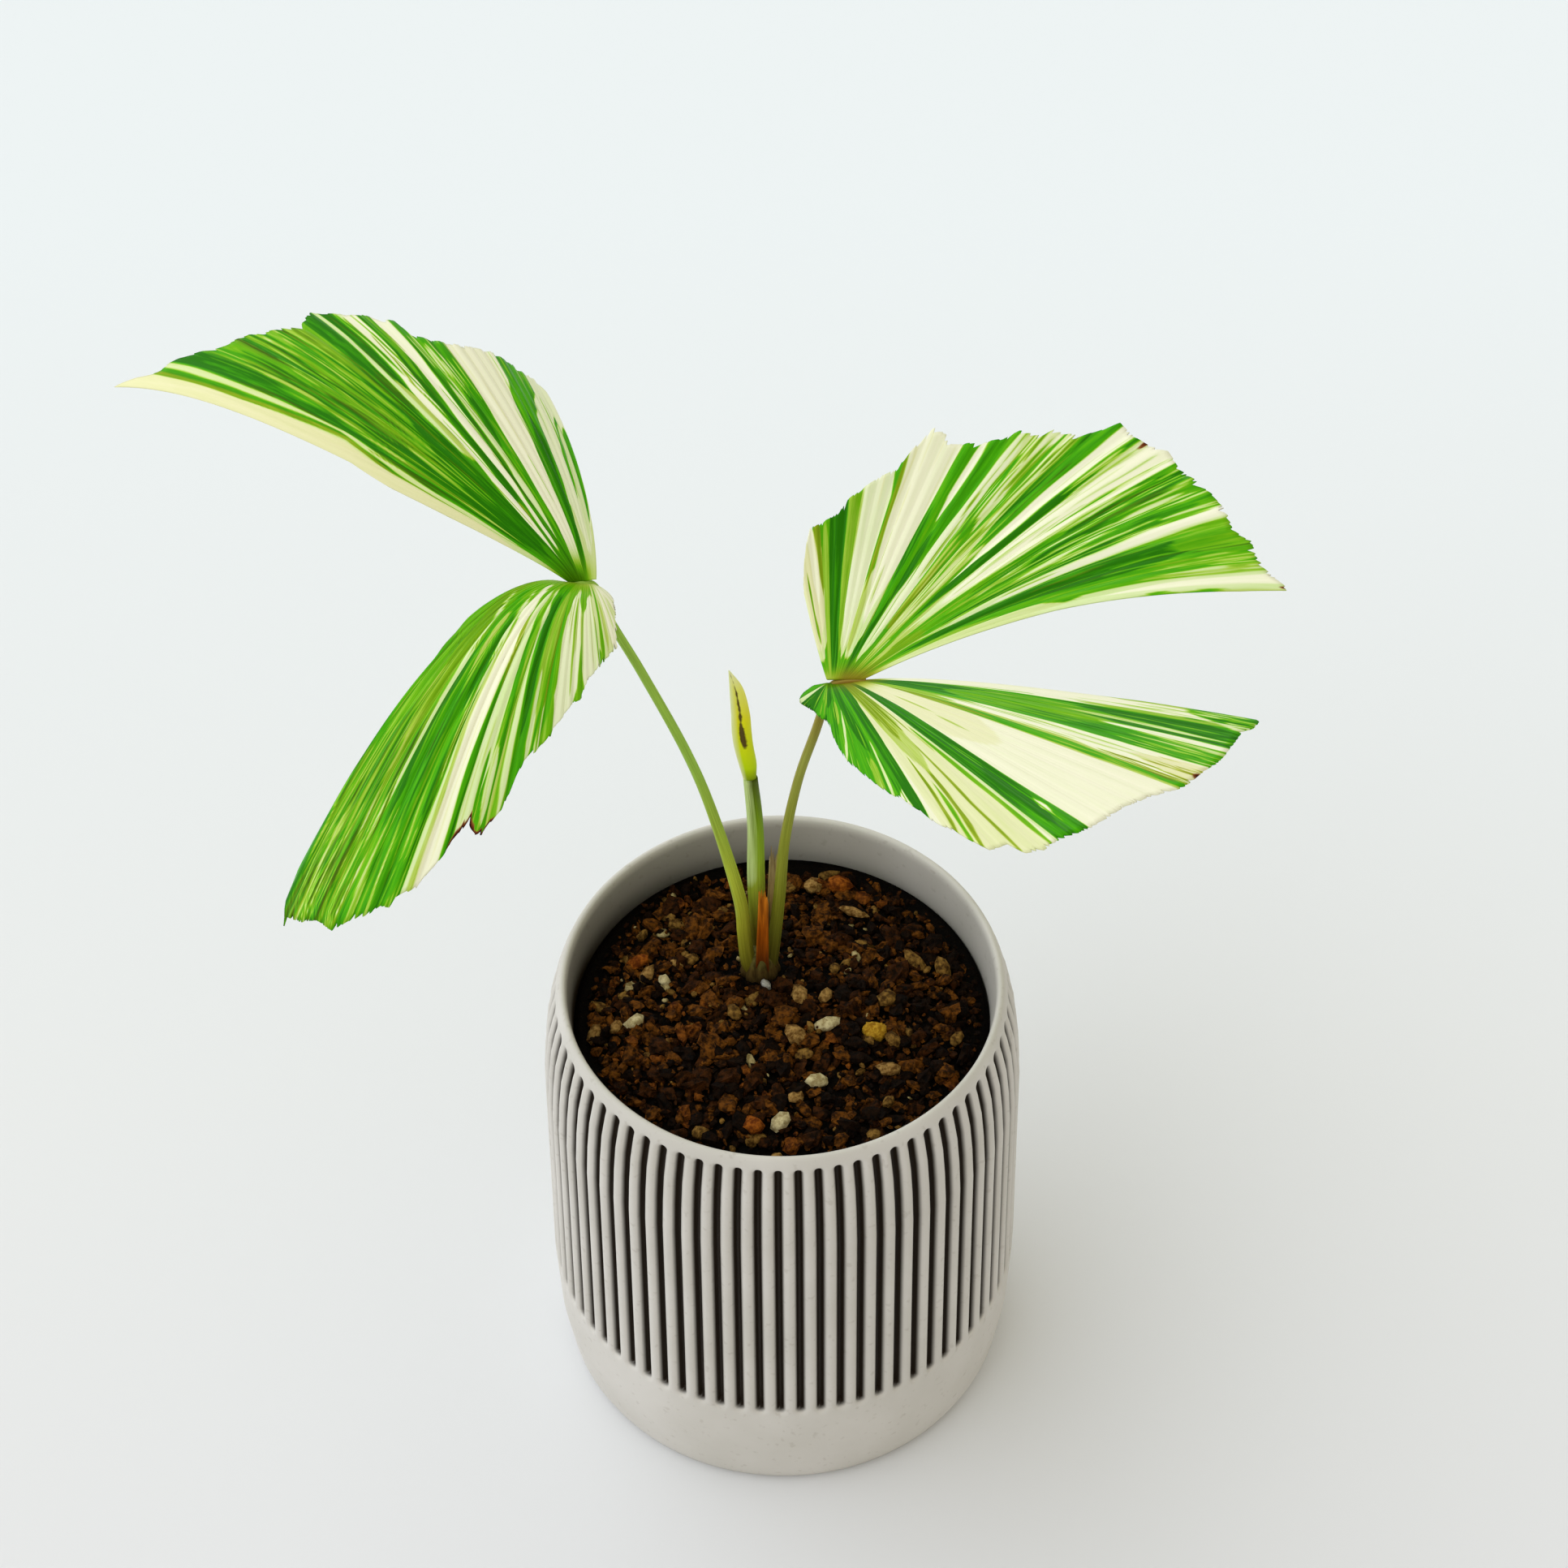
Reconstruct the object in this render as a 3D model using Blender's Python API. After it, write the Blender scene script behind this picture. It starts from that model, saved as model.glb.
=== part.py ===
"""Potted variegated fishtail palm: a young plant with two split fan leaves and a
closed spear leaf, growing in coarse potting mix in a ribbed stoneware pot.

The frame stands on the middle of the pot's flat underside, with +Z up and the two
leaves spread along X. Sizes below are in millimetres and angles in degrees.
"""

import math
from dataclasses import dataclass

import bmesh
import bpy
import numpy as np

MM = 0.001
CLEAR = 0.3  # gap between pieces that touch on the real plant

# Pot
POT_HEIGHT = 125.0
POT_RADIUS = 55.5  # over the crowns of the ribs
SHOULDER = 113.0  # the side closes in above this height
SIDE = ((0.0, 50.0), (1.2, 51.9), (4.0, 53.0), (15.0, 54.6), (33.5, POT_RADIUS),
        (100.0, 55.2), (SHOULDER, 53.9), (119.0, 52.7), (123.5, 51.4))  # height, radius
RIB_COUNT = 72
RIB_TURN = 1.2  # turn of the ribs about the pot's axis
GROOVE_DEPTH = 2.5
GROOVE_SHARE = 0.46  # of a rib's pitch, at the surface
GROOVE_FLOOR_SHARE = 0.26
GROOVE_FOOT = 33.5  # the band below this height is smooth
GROOVE_TOP = 121.5
GROOVE_RUN_OUT = 2.5  # height over which a groove dies away at each end
LIP_RADIUS = 49.5
WALL_INSIDE = ((114.0, 48.0), (8.0, 46.0), (6.0, 44.0))  # height, radius

# Potting mix
SOIL_EDGE = 113.0
SOIL_MIDDLE = 116.6
SOIL_LUMP = 0.7
SOIL_SIDES = 48

# Stems
STEM_RADIUS = 4.6
STEM_MIDDLE = (-4.9, 11.6)
STEM_TOP = 121.0
STALK_START = STEM_TOP + CLEAR
RACHIS_RADIUS = 0.95
RACHIS_Y = 14.0
SEAT = RACHIS_RADIUS + 0.4  # from the rachis axis to the foot of each blade

# Leaf blades
BLADE_THICKNESS = 1.2
VEINS = 41
ROWS = 8
ROW_GROWTH = 1.5  # rows lie closer together near the rachis
PLEAT = 0.45  # height of the folds at the blade's edge
SPRING_LENGTH = 14.0  # a vein turns into its arch over this length


@dataclass
class Blade:
    """A pleated fan of veins that leave the rachis. The first vein runs along the
    blade's long edge. Where there are two values, they are for the first and the last
    vein, and a vein between them takes a value between."""

    seat: tuple  # where the two outer veins start
    side: int  # +1 where the fan opens anticlockwise as seen from above, else -1
    heading: float  # of the first vein, from +X
    rise: float  # of the first vein, above level
    roll: float  # of the fan about its first vein
    fan: float  # angle between the outer veins
    cup: float  # lift of the middle vein out of the plane of the outer two
    spring: tuple  # downward bend near the rachis
    droop: tuple  # downward bend per millimetre along the whole vein
    sway: tuple  # turn within the blade per millimetre
    margin: tuple  # torn outer edge: angle within the fan, length of the vein there


BLADES = {
    "frond_left_upper": Blade(
        seat=((-43.9, RACHIS_Y + SEAT, 242.3), (-38.7, RACHIS_Y + SEAT, 243.2)), side=-1,
        heading=183.7, rise=47.0, roll=31.7, fan=65, cup=7.9,
        spring=(16.5, 28.7), droop=(0.56, 0.43), sway=(0.275, 0.424),
        margin=((0, 122), (3, 110), (8, 99), (12, 94), (15, 89), (17, 85), (20, 87), (27, 77),
                (30, 70), (38, 61), (50, 57), (56, 55), (65, 59)),
    ),
    "frond_left_lower": Blade(
        seat=((-44.6, RACHIS_Y - SEAT, 241.8), (-39.4, RACHIS_Y - SEAT, 241.7)), side=1,
        heading=192.7, rise=37.2, roll=27.8, fan=80, cup=0.7,
        spring=(65.5, 63.3), droop=(0.252, 0.166), sway=(0.126, 2.40),
        margin=((0, 93), (2, 98), (16, 95), (23, 89), (26, 84), (31, 71), (33, 65), (37, 65),
                (39, 60), (43, 47), (50, 38), (59, 31), (67, 23), (80, 18)),
    ),
    "frond_right_upper": Blade(
        seat=((18.3, RACHIS_Y + SEAT, 211.0), (10.7, RACHIS_Y + SEAT, 211.1)), side=1,
        heading=21.4, rise=14.7, roll=-10.4, fan=80, cup=-6.2,
        spring=(1.4, -21.3), droop=(0.189, -0.539), sway=(-0.206, -0.395),
        margin=((0, 95), (4, 91), (10, 90), (22, 88), (32, 86), (35, 78), (42, 71), (51, 62),
                (54, 65), (58, 54), (68, 43), (80, 36)),
    ),
    "frond_right_lower": Blade(
        seat=((19.2, RACHIS_Y - SEAT, 210.7), (10.7, RACHIS_Y - SEAT, 209.8)), side=-1,
        heading=-3.6, rise=9.1, roll=14.2, fan=84, cup=2.4,
        spring=(10.8, 21.5), droop=(0.052, -0.178), sway=(0.034, 0.011),
        margin=((0, 85), (4, 82), (14, 80), (22, 78), (28, 74), (40, 71), (52, 69), (54, 64),
                (58, 60), (62, 50), (67, 38), (76, 27), (84, 14)),
    ),
}

# Each stalk leans out from the stem and ends in a short rachis between its two blades.
# The last point of a leaf's stalk is the end of its rachis.
LEFT_STALK = ((-7.8, 10.4, STALK_START), (-8.5, 10.8, 130.0), (-9.5, 11.2, 142.5),
              (-15.0, 12.0, 170.0), (-20.5, 12.6, 190.0), (-29.6, 13.3, 215.0),
              (-36.0, 13.8, 231.0), (-38.4, RACHIS_Y, 239.8), (-40.6, RACHIS_Y, 242.2),
              (-44.0, RACHIS_Y, 242.3))
LEFT_STALK_RADII = (1.6, 1.55, 1.5, 1.2, 1.1, 1.03, 1.0, 0.98, RACHIS_RADIUS, 0.7)
RIGHT_STALK = ((-2.2, 11.2, STALK_START), (-0.4, 11.6, 141.0), (1.0, 12.3, 160.0),
               (4.1, 13.1, 179.5), (8.1, 13.6, 195.5), (10.3, 13.9, 205.0),
               (11.6, RACHIS_Y, 209.2), (13.8, RACHIS_Y, 210.4), (18.6, RACHIS_Y, 211.0))
RIGHT_STALK_RADII = (1.5, 1.4, 1.2, 1.05, 1.03, 1.0, 0.98, RACHIS_RADIUS, 0.7)
SPEAR_STALK = ((-5.2, 14.1, STALK_START), (-5.6, 14.1, 144.5), (-5.6, 14.0, 163.9),
               (-6.5, 14.0, 178.8))
SPEAR_STALK_RADII = (1.6, 2.0, 1.8, 1.65)
SPEAR_LEAF = ((-6.5, 14.0, 178.8 + CLEAR), (-7.0, 14.0, 184.4), (-7.8, 14.0, 190.0),
              (-8.2, 14.0, 195.0), (-8.4, 14.0, 201.0), (-9.2, 14.0, 208.5),
              (-10.7, 14.0, 214.5))
SPEAR_LEAF_WIDTHS = (3.4, 4.0, 4.3, 4.4, 4.1, 3.1, 0.5)
SPEAR_LEAF_DEPTH = 0.62  # of its width
DRIED_SHEATH = ((-4.3, 9.2, STALK_START), (-4.1, 9.3, 132.0), (-3.8, 9.5, 147.0))
PAPERY_SHEATH = ((-2.1, 15.3, STALK_START), (-1.6, 14.9, 138.0), (-1.4, 15.0, 156.0))


def clear_scene():
    for old in list(bpy.data.objects):
        bpy.data.objects.remove(old, do_unlink=True)


def material(name, hex_colour, roughness):
    """A plain surface of one colour, given as sRGB hex."""
    parts = [int(hex_colour[i:i + 2], 16) / 255 for i in (0, 2, 4)]
    linear = [c / 12.92 if c <= 0.04045 else ((c + 0.055) / 1.055) ** 2.4 for c in parts]
    made = bpy.data.materials.new(name)
    made.use_nodes = True
    shader = made.node_tree.nodes["Principled BSDF"]
    shader.inputs["Base Color"].default_value = (*linear, 1.0)
    shader.inputs["Roughness"].default_value = roughness
    shader.inputs["Metallic"].default_value = 0.0
    made.diffuse_color = (*linear, 1.0)
    return made


def add_mesh(name, points, faces, finish):
    """One object from points in millimetres, faces out, smooth but for its sharp edges."""
    mesh = bpy.data.meshes.new(name)
    mesh.from_pydata([tuple(MM * float(c) for c in p) for p in points], [], faces)
    shell = bmesh.new()
    shell.from_mesh(mesh)
    bmesh.ops.recalc_face_normals(shell, faces=shell.faces)
    shell.to_mesh(mesh)
    shell.free()
    mesh.shade_smooth()
    mesh.set_sharp_from_angle(angle=math.radians(40))
    mesh.materials.append(finish)
    made = bpy.data.objects.new(name, mesh)
    bpy.context.collection.objects.link(made)
    return made


def band(lower, upper):
    """Quads between two rings of equal count, given as lists of point numbers."""
    count = len(lower)
    return [(lower[i], lower[(i + 1) % count], upper[(i + 1) % count], upper[i])
            for i in range(count)]


def fine_band(plain, grooved):
    """Faces from a ring to one with four times its points."""
    faces = []
    for i, start in enumerate(plain):
        end = plain[(i + 1) % len(plain)]
        a, b, c, d = grooved[4 * i:4 * i + 4]
        after = grooved[(4 * i + 4) % len(grooved)]
        faces += [(start, b, a), (start, c, b), (start, end, d, c), (end, after, d)]
    return faces


def add_stack(name, rings, finish):
    """A closed solid from rings of points, with a flat cap on its first and last ring."""
    points = [p for ring in rings for p in ring]
    ends = np.cumsum([0] + [len(ring) for ring in rings])
    numbers = [list(range(a, b)) for a, b in zip(ends, ends[1:])]
    faces = [tuple(numbers[0]), tuple(numbers[-1])]
    for lower, upper in zip(numbers, numbers[1:]):
        if len(lower) == len(upper):
            faces += band(lower, upper)
        elif len(lower) < len(upper):
            faces += fine_band(lower, upper)
        else:
            faces += fine_band(upper, lower)
    return add_mesh(name, points, faces, finish)


def through(points, count):
    """Points along the smooth curve through the given ones. Each span is a cubic whose
    slope at a given point is half the step between that point's neighbours."""
    given = np.array(points, float)
    padded = np.vstack([2 * given[0] - given[1], given, 2 * given[-1] - given[-2]])
    where = np.linspace(0, len(given) - 1, count)
    span = np.minimum(where.astype(int), len(given) - 2)
    t = (where - span)[:, None]
    before, start, end, after = (padded[span + i] for i in range(4))
    return 0.5 * (
        2 * start + (end - before) * t
        + (2 * before - 5 * start + 4 * end - after) * t ** 2
        + (3 * start - before - 3 * end + after) * t ** 3
    )


def values_through(values, count):
    return through([(v,) for v in values], count)[:, 0]


# Pot

def pot_radius(height):
    """Over the rib crowns: a rounded foot, a side that swells a little, a shoulder."""
    return float(np.interp(height, *zip(*SIDE)))


def circle(radius, height, count=RIB_COUNT):
    angles = 2 * math.pi * np.arange(count) / count
    return [(radius * math.cos(a), radius * math.sin(a), height) for a in angles]


def grooved_ring(height, depth):
    """Four points a rib: the ends of its crown, then those of the groove's floor."""
    crown = pot_radius(height)
    pitch = 360 / RIB_COUNT
    turns = (pitch * (GROOVE_SHARE / 2 - 1), -pitch * GROOVE_SHARE / 2,
             -pitch * GROOVE_FLOOR_SHARE / 2, pitch * GROOVE_FLOOR_SHARE / 2)
    radii = (crown, crown, crown - depth, crown - depth)
    ring = []
    for rib in range(RIB_COUNT):
        middle = pitch * (rib + 0.5) + RIB_TURN
        for turn, radius in zip(turns, radii):
            angle = math.radians(middle + turn)
            ring.append((radius * math.cos(angle), radius * math.sin(angle), height))
    return ring


def make_pot(finish):
    smooth_foot = [circle(pot_radius(z), z) for z in (0.0, 1.2, 4.0, 15.0, 30.0)]
    ribbed = [
        grooved_ring(GROOVE_FOOT, 0.0),
        grooved_ring(GROOVE_FOOT + GROOVE_RUN_OUT, GROOVE_DEPTH),
        grooved_ring(100.0, GROOVE_DEPTH),
        grooved_ring(SHOULDER, GROOVE_DEPTH),
        grooved_ring(GROOVE_TOP - GROOVE_RUN_OUT, GROOVE_DEPTH),
        grooved_ring(GROOVE_TOP, 0.0),
    ]
    rim = [
        circle(pot_radius(POT_HEIGHT - 1.5), POT_HEIGHT - 1.5),
        circle(LIP_RADIUS + 1.5, POT_HEIGHT - 0.4),
        circle(LIP_RADIUS + 0.8, POT_HEIGHT),
        circle(LIP_RADIUS, POT_HEIGHT - 0.6),
        circle(LIP_RADIUS - 0.4, POT_HEIGHT - 3.0),
    ]
    inside = [circle(radius, height) for height, radius in WALL_INSIDE]
    add_stack("pot", smooth_foot + ribbed + rim + inside, finish)


# Potting mix

def make_soil(finish):
    """A plug that fills the pot, with a low dome of seeded lumps on top."""
    chance = np.random.default_rng(7)
    (_, top_wall), (heel, low_wall), (floor, floor_wall) = WALL_INSIDE
    edge = top_wall - 2 * CLEAR
    rings = [
        circle(floor_wall - CLEAR, floor + CLEAR, SOIL_SIDES),
        circle(low_wall - 2 * CLEAR, heel + 2 * CLEAR, SOIL_SIDES),
        circle(edge, SOIL_EDGE, SOIL_SIDES),
    ]
    for share, roughness in ((0.93, 1.0), (0.8, 1.0), (0.64, 1.0), (0.46, 0.4), (0.26, 0.4)):
        height = SOIL_EDGE + (SOIL_MIDDLE - SOIL_LUMP - SOIL_EDGE) * (1 - share ** 2)
        lumps = SOIL_LUMP * roughness * chance.uniform(-1.0, 1.0, SOIL_SIDES)
        rings.append([(x, y, z + lump)
                      for (x, y, z), lump in zip(circle(share * edge, height, SOIL_SIDES), lumps)])
    add_stack("soil", rings, finish)


# Stems

def ellipse(middle, width, depth, sides, bow=0.0):
    """A level ellipse whose left and right ends are pushed back along Y by bow widths."""
    x, y, z = middle
    ring = []
    for angle in 2 * math.pi * np.arange(sides) / sides:
        across = math.cos(angle)
        back = depth / 2 * math.sin(angle) + bow * width * across ** 2
        ring.append((x + width / 2 * across, y + back, z))
    return ring


def make_stem_base(finish):
    x, y = STEM_MIDDLE
    foot = SOIL_MIDDLE + CLEAR
    shape = ((foot, 1.08), (foot + 0.8, 1.1), (foot + 2.0, 1.02), (STEM_TOP - 0.8, 0.97),
             (STEM_TOP, 0.93))
    rings = [ellipse((x, y, z), 2 * share * STEM_RADIUS, 2 * share * STEM_RADIUS, 18)
             for z, share in shape]
    add_stack("stem_base", rings, finish)


def make_stalk(name, points, radii, finish, count):
    """A tapering tube along the smooth curve through the given points."""
    line = bpy.data.curves.new(name, "CURVE")
    line.dimensions = "3D"
    line.bevel_depth = MM
    line.bevel_resolution = 2
    line.use_fill_caps = True
    spline = line.splines.new("POLY")
    spline.points.add(count - 1)
    route = zip(spline.points, through(points, count), values_through(radii, count))
    for knot, place, radius in route:
        knot.co = (*(MM * place), 1.0)
        knot.radius = radius
    line.materials.append(finish)
    bpy.context.collection.objects.link(bpy.data.objects.new(name, line))


def make_spear_leaf(finish):
    """The furled leaf: a lance that swells above its joint and runs out to a point."""
    count = 13
    widths = values_through(SPEAR_LEAF_WIDTHS, count)
    rings = [ellipse(middle, width, SPEAR_LEAF_DEPTH * width, 12)
             for middle, width in zip(through(SPEAR_LEAF, count), widths)]
    add_stack("spear_leaf", rings, finish)


def make_sheath(name, points, widths, depth, finish):
    """A spent leaf sheath: a narrow strip, hollowed towards the stalk behind it."""
    count = 8
    rings = [ellipse(middle, width, depth, 12, bow=0.1)
             for middle, width in zip(through(points, count), np.linspace(*widths, count))]
    add_stack(name, rings, finish)


# Leaf blades

def vein(blade, angle, length):
    """Points and upper normals along one vein. Its direction turns within the blade by
    sway, and tips down from the blade's plane by spring, nearly all of it within the
    first stretch, and by droop. The points are the running sum of that direction."""
    heading, rise, roll = (math.radians(a) for a in (blade.heading, blade.rise, blade.roll))
    along = np.array([math.cos(rise) * math.cos(heading), math.cos(rise) * math.sin(heading),
                      math.sin(rise)])
    level = blade.side * np.array([-math.sin(heading), math.cos(heading), 0.0])
    raised = blade.side * np.cross(along, level)
    across = level * math.cos(roll) + raised * math.sin(roll)
    upward = blade.side * np.cross(along, across)
    share = angle / blade.fan

    def here(pair):
        return pair[0] + (pair[1] - pair[0]) * share

    finer = 8  # steps between rows
    run = length * np.linspace(0, 1, finer * (ROWS - 1) + 1) ** ROW_GROWTH
    turn = np.radians(angle + here(blade.sway) * run)
    lift = blade.cup * math.sin(math.pi * share)
    bend = here(blade.spring) * (1 - np.exp(-run / SPRING_LENGTH)) + here(blade.droop) * run
    tip = np.radians(bend - lift)
    flat = np.outer(np.cos(turn), along) + np.outer(np.sin(turn), across)
    direction = np.cos(tip)[:, None] * flat - np.outer(np.sin(tip), upward)
    normal = np.sin(tip)[:, None] * flat + np.outer(np.cos(tip), upward)
    steps = (direction[1:] + direction[:-1]) / 2 * np.diff(run)[:, None]
    start = here([np.array(end) for end in blade.seat])
    points = start + np.vstack([np.zeros(3), np.cumsum(steps, axis=0)])
    return points[::finer], normal[::finer]


def make_blade(name, blade, finish):
    """The fan as a sheet of veins side by side, raised and lowered in turn for the
    pleats, and thickened both ways."""
    sheet = []
    for i, angle in enumerate(np.linspace(0, blade.fan, VEINS)):
        points, normal = vein(blade, angle, np.interp(angle, *zip(*blade.margin)))
        fold = PLEAT * (1 if i % 2 else -1) * np.linspace(0, 1, ROWS)
        sheet.append(points + normal * fold[:, None])
    corners = [i * ROWS + j for i in range(VEINS - 1) for j in range(ROWS - 1)]
    faces = [(c, c + 1, c + ROWS + 1, c + ROWS) for c in corners]
    made = add_mesh(name, np.concatenate(sheet), faces, finish)
    thick = made.modifiers.new("thickness", "SOLIDIFY")
    thick.thickness = BLADE_THICKNESS * MM
    thick.offset = 0.0


def main():
    clear_scene()
    make_pot(material("stoneware", "C6C1B9", 0.75))
    make_soil(material("potting_mix", "3A2614", 0.95))
    make_stem_base(material("stem", "6F6A34", 0.6))
    green = material("green_stalk", "8FB040", 0.45)
    make_stalk("petiole_left", LEFT_STALK, LEFT_STALK_RADII, green, count=34)
    make_stalk("petiole_right", RIGHT_STALK, RIGHT_STALK_RADII, green, count=30)
    make_stalk("spear_stalk", SPEAR_STALK, SPEAR_STALK_RADII, green, count=10)
    make_spear_leaf(material("young_leaf", "B9C23C", 0.4))
    make_sheath("dried_sheath", DRIED_SHEATH, (3.2, 2.7), 0.9, material("dried_leaf", "B8651C", 0.7))
    make_sheath("papery_sheath", PAPERY_SHEATH, (2.4, 1.3), 0.8,
                material("papery_leaf", "C9B48A", 0.8))
    variegated = material("variegated_leaf", "A8C46A", 0.4)
    for name, blade in BLADES.items():
        make_blade(name, blade, variegated)


main()
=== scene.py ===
"""Looks for the potted variegated fishtail palm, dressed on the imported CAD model.

Sizes are in millimetres and angles in degrees until a mesh is made. The frame is the
CAD's: the origin lies under the middle of the pot, +Z is up and -Y faces the camera.
"""

from dataclasses import dataclass
from dataclasses import replace

import bpy
import numpy as np
from mathutils import Matrix
from mathutils import Vector


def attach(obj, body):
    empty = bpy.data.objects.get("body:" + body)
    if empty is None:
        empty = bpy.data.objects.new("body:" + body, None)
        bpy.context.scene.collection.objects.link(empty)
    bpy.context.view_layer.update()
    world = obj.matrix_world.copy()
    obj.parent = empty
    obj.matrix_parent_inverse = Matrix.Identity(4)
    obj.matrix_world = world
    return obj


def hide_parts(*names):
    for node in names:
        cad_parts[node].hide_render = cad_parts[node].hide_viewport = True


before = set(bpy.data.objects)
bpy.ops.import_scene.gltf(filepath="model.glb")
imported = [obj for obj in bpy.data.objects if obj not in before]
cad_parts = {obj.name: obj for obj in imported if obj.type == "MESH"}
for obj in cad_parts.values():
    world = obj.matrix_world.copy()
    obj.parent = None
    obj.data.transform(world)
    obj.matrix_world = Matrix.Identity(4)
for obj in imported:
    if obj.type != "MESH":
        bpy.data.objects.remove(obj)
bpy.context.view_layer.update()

MM = 0.001

# Camera, solved from the photograph's rim, rib and foot outlines
CAMERA_PLACE = (0.0, -703.7, 986.5)
CAMERA_PITCH = 48.43  # below level
CAMERA_YAW = 0.08
CAMERA_ROLL = -0.50
CAMERA_FILM = 36.0
CAMERA_LENS = CAMERA_FILM * 6000 / 1932

# Light: the room's glow, and two lamps by direction, width, strength and colour
ROOM_COLOUR = "FEF9E9"
ROOM_STRENGTH = 0.67
WINDOW = ((-0.76, 0.12, 0.66), 108, 2.14, "EAF2FF")
REFLECTOR = ((0.02, 0.93, 0.34), 12, 0.4, "F4F9FF")
FLOOR_REACH = 6.0  # in metres

# Pot
SIDE = ((1.2, 51.9), (4.0, 53.0), (15.0, 54.6), (33.5, 55.5), (100.0, 55.2), (113.0, 53.9),
        (119.0, 52.7), (122.6, 51.7))  # height, radius over the crowns of the ribs
SIDE_ROWS = np.concatenate([
    [1.2, 2.4, 4, 7, 11, 15, 21, 27, 31], np.linspace(32.0, 35.4, 9), np.linspace(40, 105, 8),
    [109, 113, 116, 118], np.linspace(118.8, 122.2, 9), [122.6],
])  # heights of the rings, close together at the ends of the grooves
FOOT = ((40.0, 0.0), (49.4, 0.0), (50.4, 0.15), (51.2, 0.6))  # radius, height
LIP = ((51.4, 123.4), (51.1, 124.2), (50.7, 124.8), (50.2, 125.0), (49.8, 124.9),
       (49.4, 124.5), (49.15, 123.7), (49.0, 122.4), (48.5, 118.0), (48.0, 114.0),
       (47.2, 80.0), (46.6, 40.0), (46.0, 8.5), (45.6, 6.8), (44.0, 6.0), (20.0, 6.0))
LIP_CREST = 5  # the points of the lip after these run down the wall inside
RIB_COUNT = 72
RIB_TURN = 1.2
RIB_STEPS = (-0.5, -0.39, -0.33, -0.29, -0.255, -0.22, -0.185, -0.15, -0.10, 0.0,
             0.10, 0.15, 0.185, 0.22, 0.255, 0.29, 0.33, 0.39)  # of a rib's pitch
RIB_SHOULDER = 0.94  # width of a rib's rounded shoulder beside the groove
GROOVE_DEPTH = 2.6
GROOVE_HALF = 1.48  # half of a groove's width at the surface
GROOVE_WALL = 1.0  # width of the wall from the surface to the floor
GROOVE_FOOT = 32.2
GROOVE_TOP = 122.0
# Painted shade on the wall inside the pot, by height, strongest down by the mix
WALL_SHADE = ((100.0, 1.0), (112.5, 0.70), (117.0, 0.50), (122.4, 0.38), (124.0, 0.15))
SHADE_TURN = 35  # where the painted shade on the wall inside is weakest, from +X

# Potting mix
SOIL_EDGE = 113.0
SOIL_MIDDLE = 116.4
SOIL_RADIUS = 47.6
BED_DROP = 0.6  # the bed of humus lies this far under the crumbs
BED_BOTTOM = (108.0, 110.0)  # heights of its two lowest rings
LUMP_COUNT = 24
LUMP_HEIGHT = 1.8

# Crumbs of the mix: name, its two colours, share of the places, roundness
CRUMBS = (
    ("bark_black", "060301", "1C0E04", 0.26, False),
    ("bark_dark", "140902", "402108", 0.33, False),
    ("bark_brown", "241204", "6E4010", 0.31, False),
    ("bark_rust", "341604", "7A4412", 0.045, False),
    ("clay_tan", "3E280C", "8C6830", 0.045, True),
    ("pumice_pale", "6E5C34", "B8A674", 0.01, True),
    ("stone_rust", "5A2806", "A05818", 0.0, True),
    ("stone_tan", "5C3E18", "A8834A", 0.0, True),
    ("stone_cream", "98855A", "D2C496", 0.0, True),
    ("stone_yellow", "8E6410", "C89C30", 0.0, True),
    ("pebble_grey", "77746E", "B4B1AA", 0.0, True),
)
ROUND_DENTS = 0.2  # how deep the dents of a round and of a broken crumb go
BROKEN_DENTS = 0.36
CRUMB_WIDTHS = (0.4, 0.85)  # the least and the most, of a crumb's length
CRUMB_HEIGHTS = (0.3, 0.6)
CRUMB_TIP = 0.35  # usual tip out of level, in radians
ROW_STEP = 0.87  # between rows of crumbs, of their spacing: the height of a triangle
JITTER = 0.42  # how far a crumb may lie from its place in the row, of the spacing
EDGE_WAVE = 0.8  # how ragged the outer edge of the crumbs is

# Layers of seeded crumbs: spacing, reach, shortest and longest crumb, spread in height
LAYERS = ((4.1, 43.2, 3.2, 6.8, 1.2), (2.9, 44.4, 1.8, 3.8, 0.8), (2.0, 45.6, 0.8, 1.9, 1.2))
STEM_CLEARANCE = 4.5  # between the middle of the stem and a seeded crumb
STONE_LIFT = 1.2  # of a stone's middle over the mix

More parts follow.
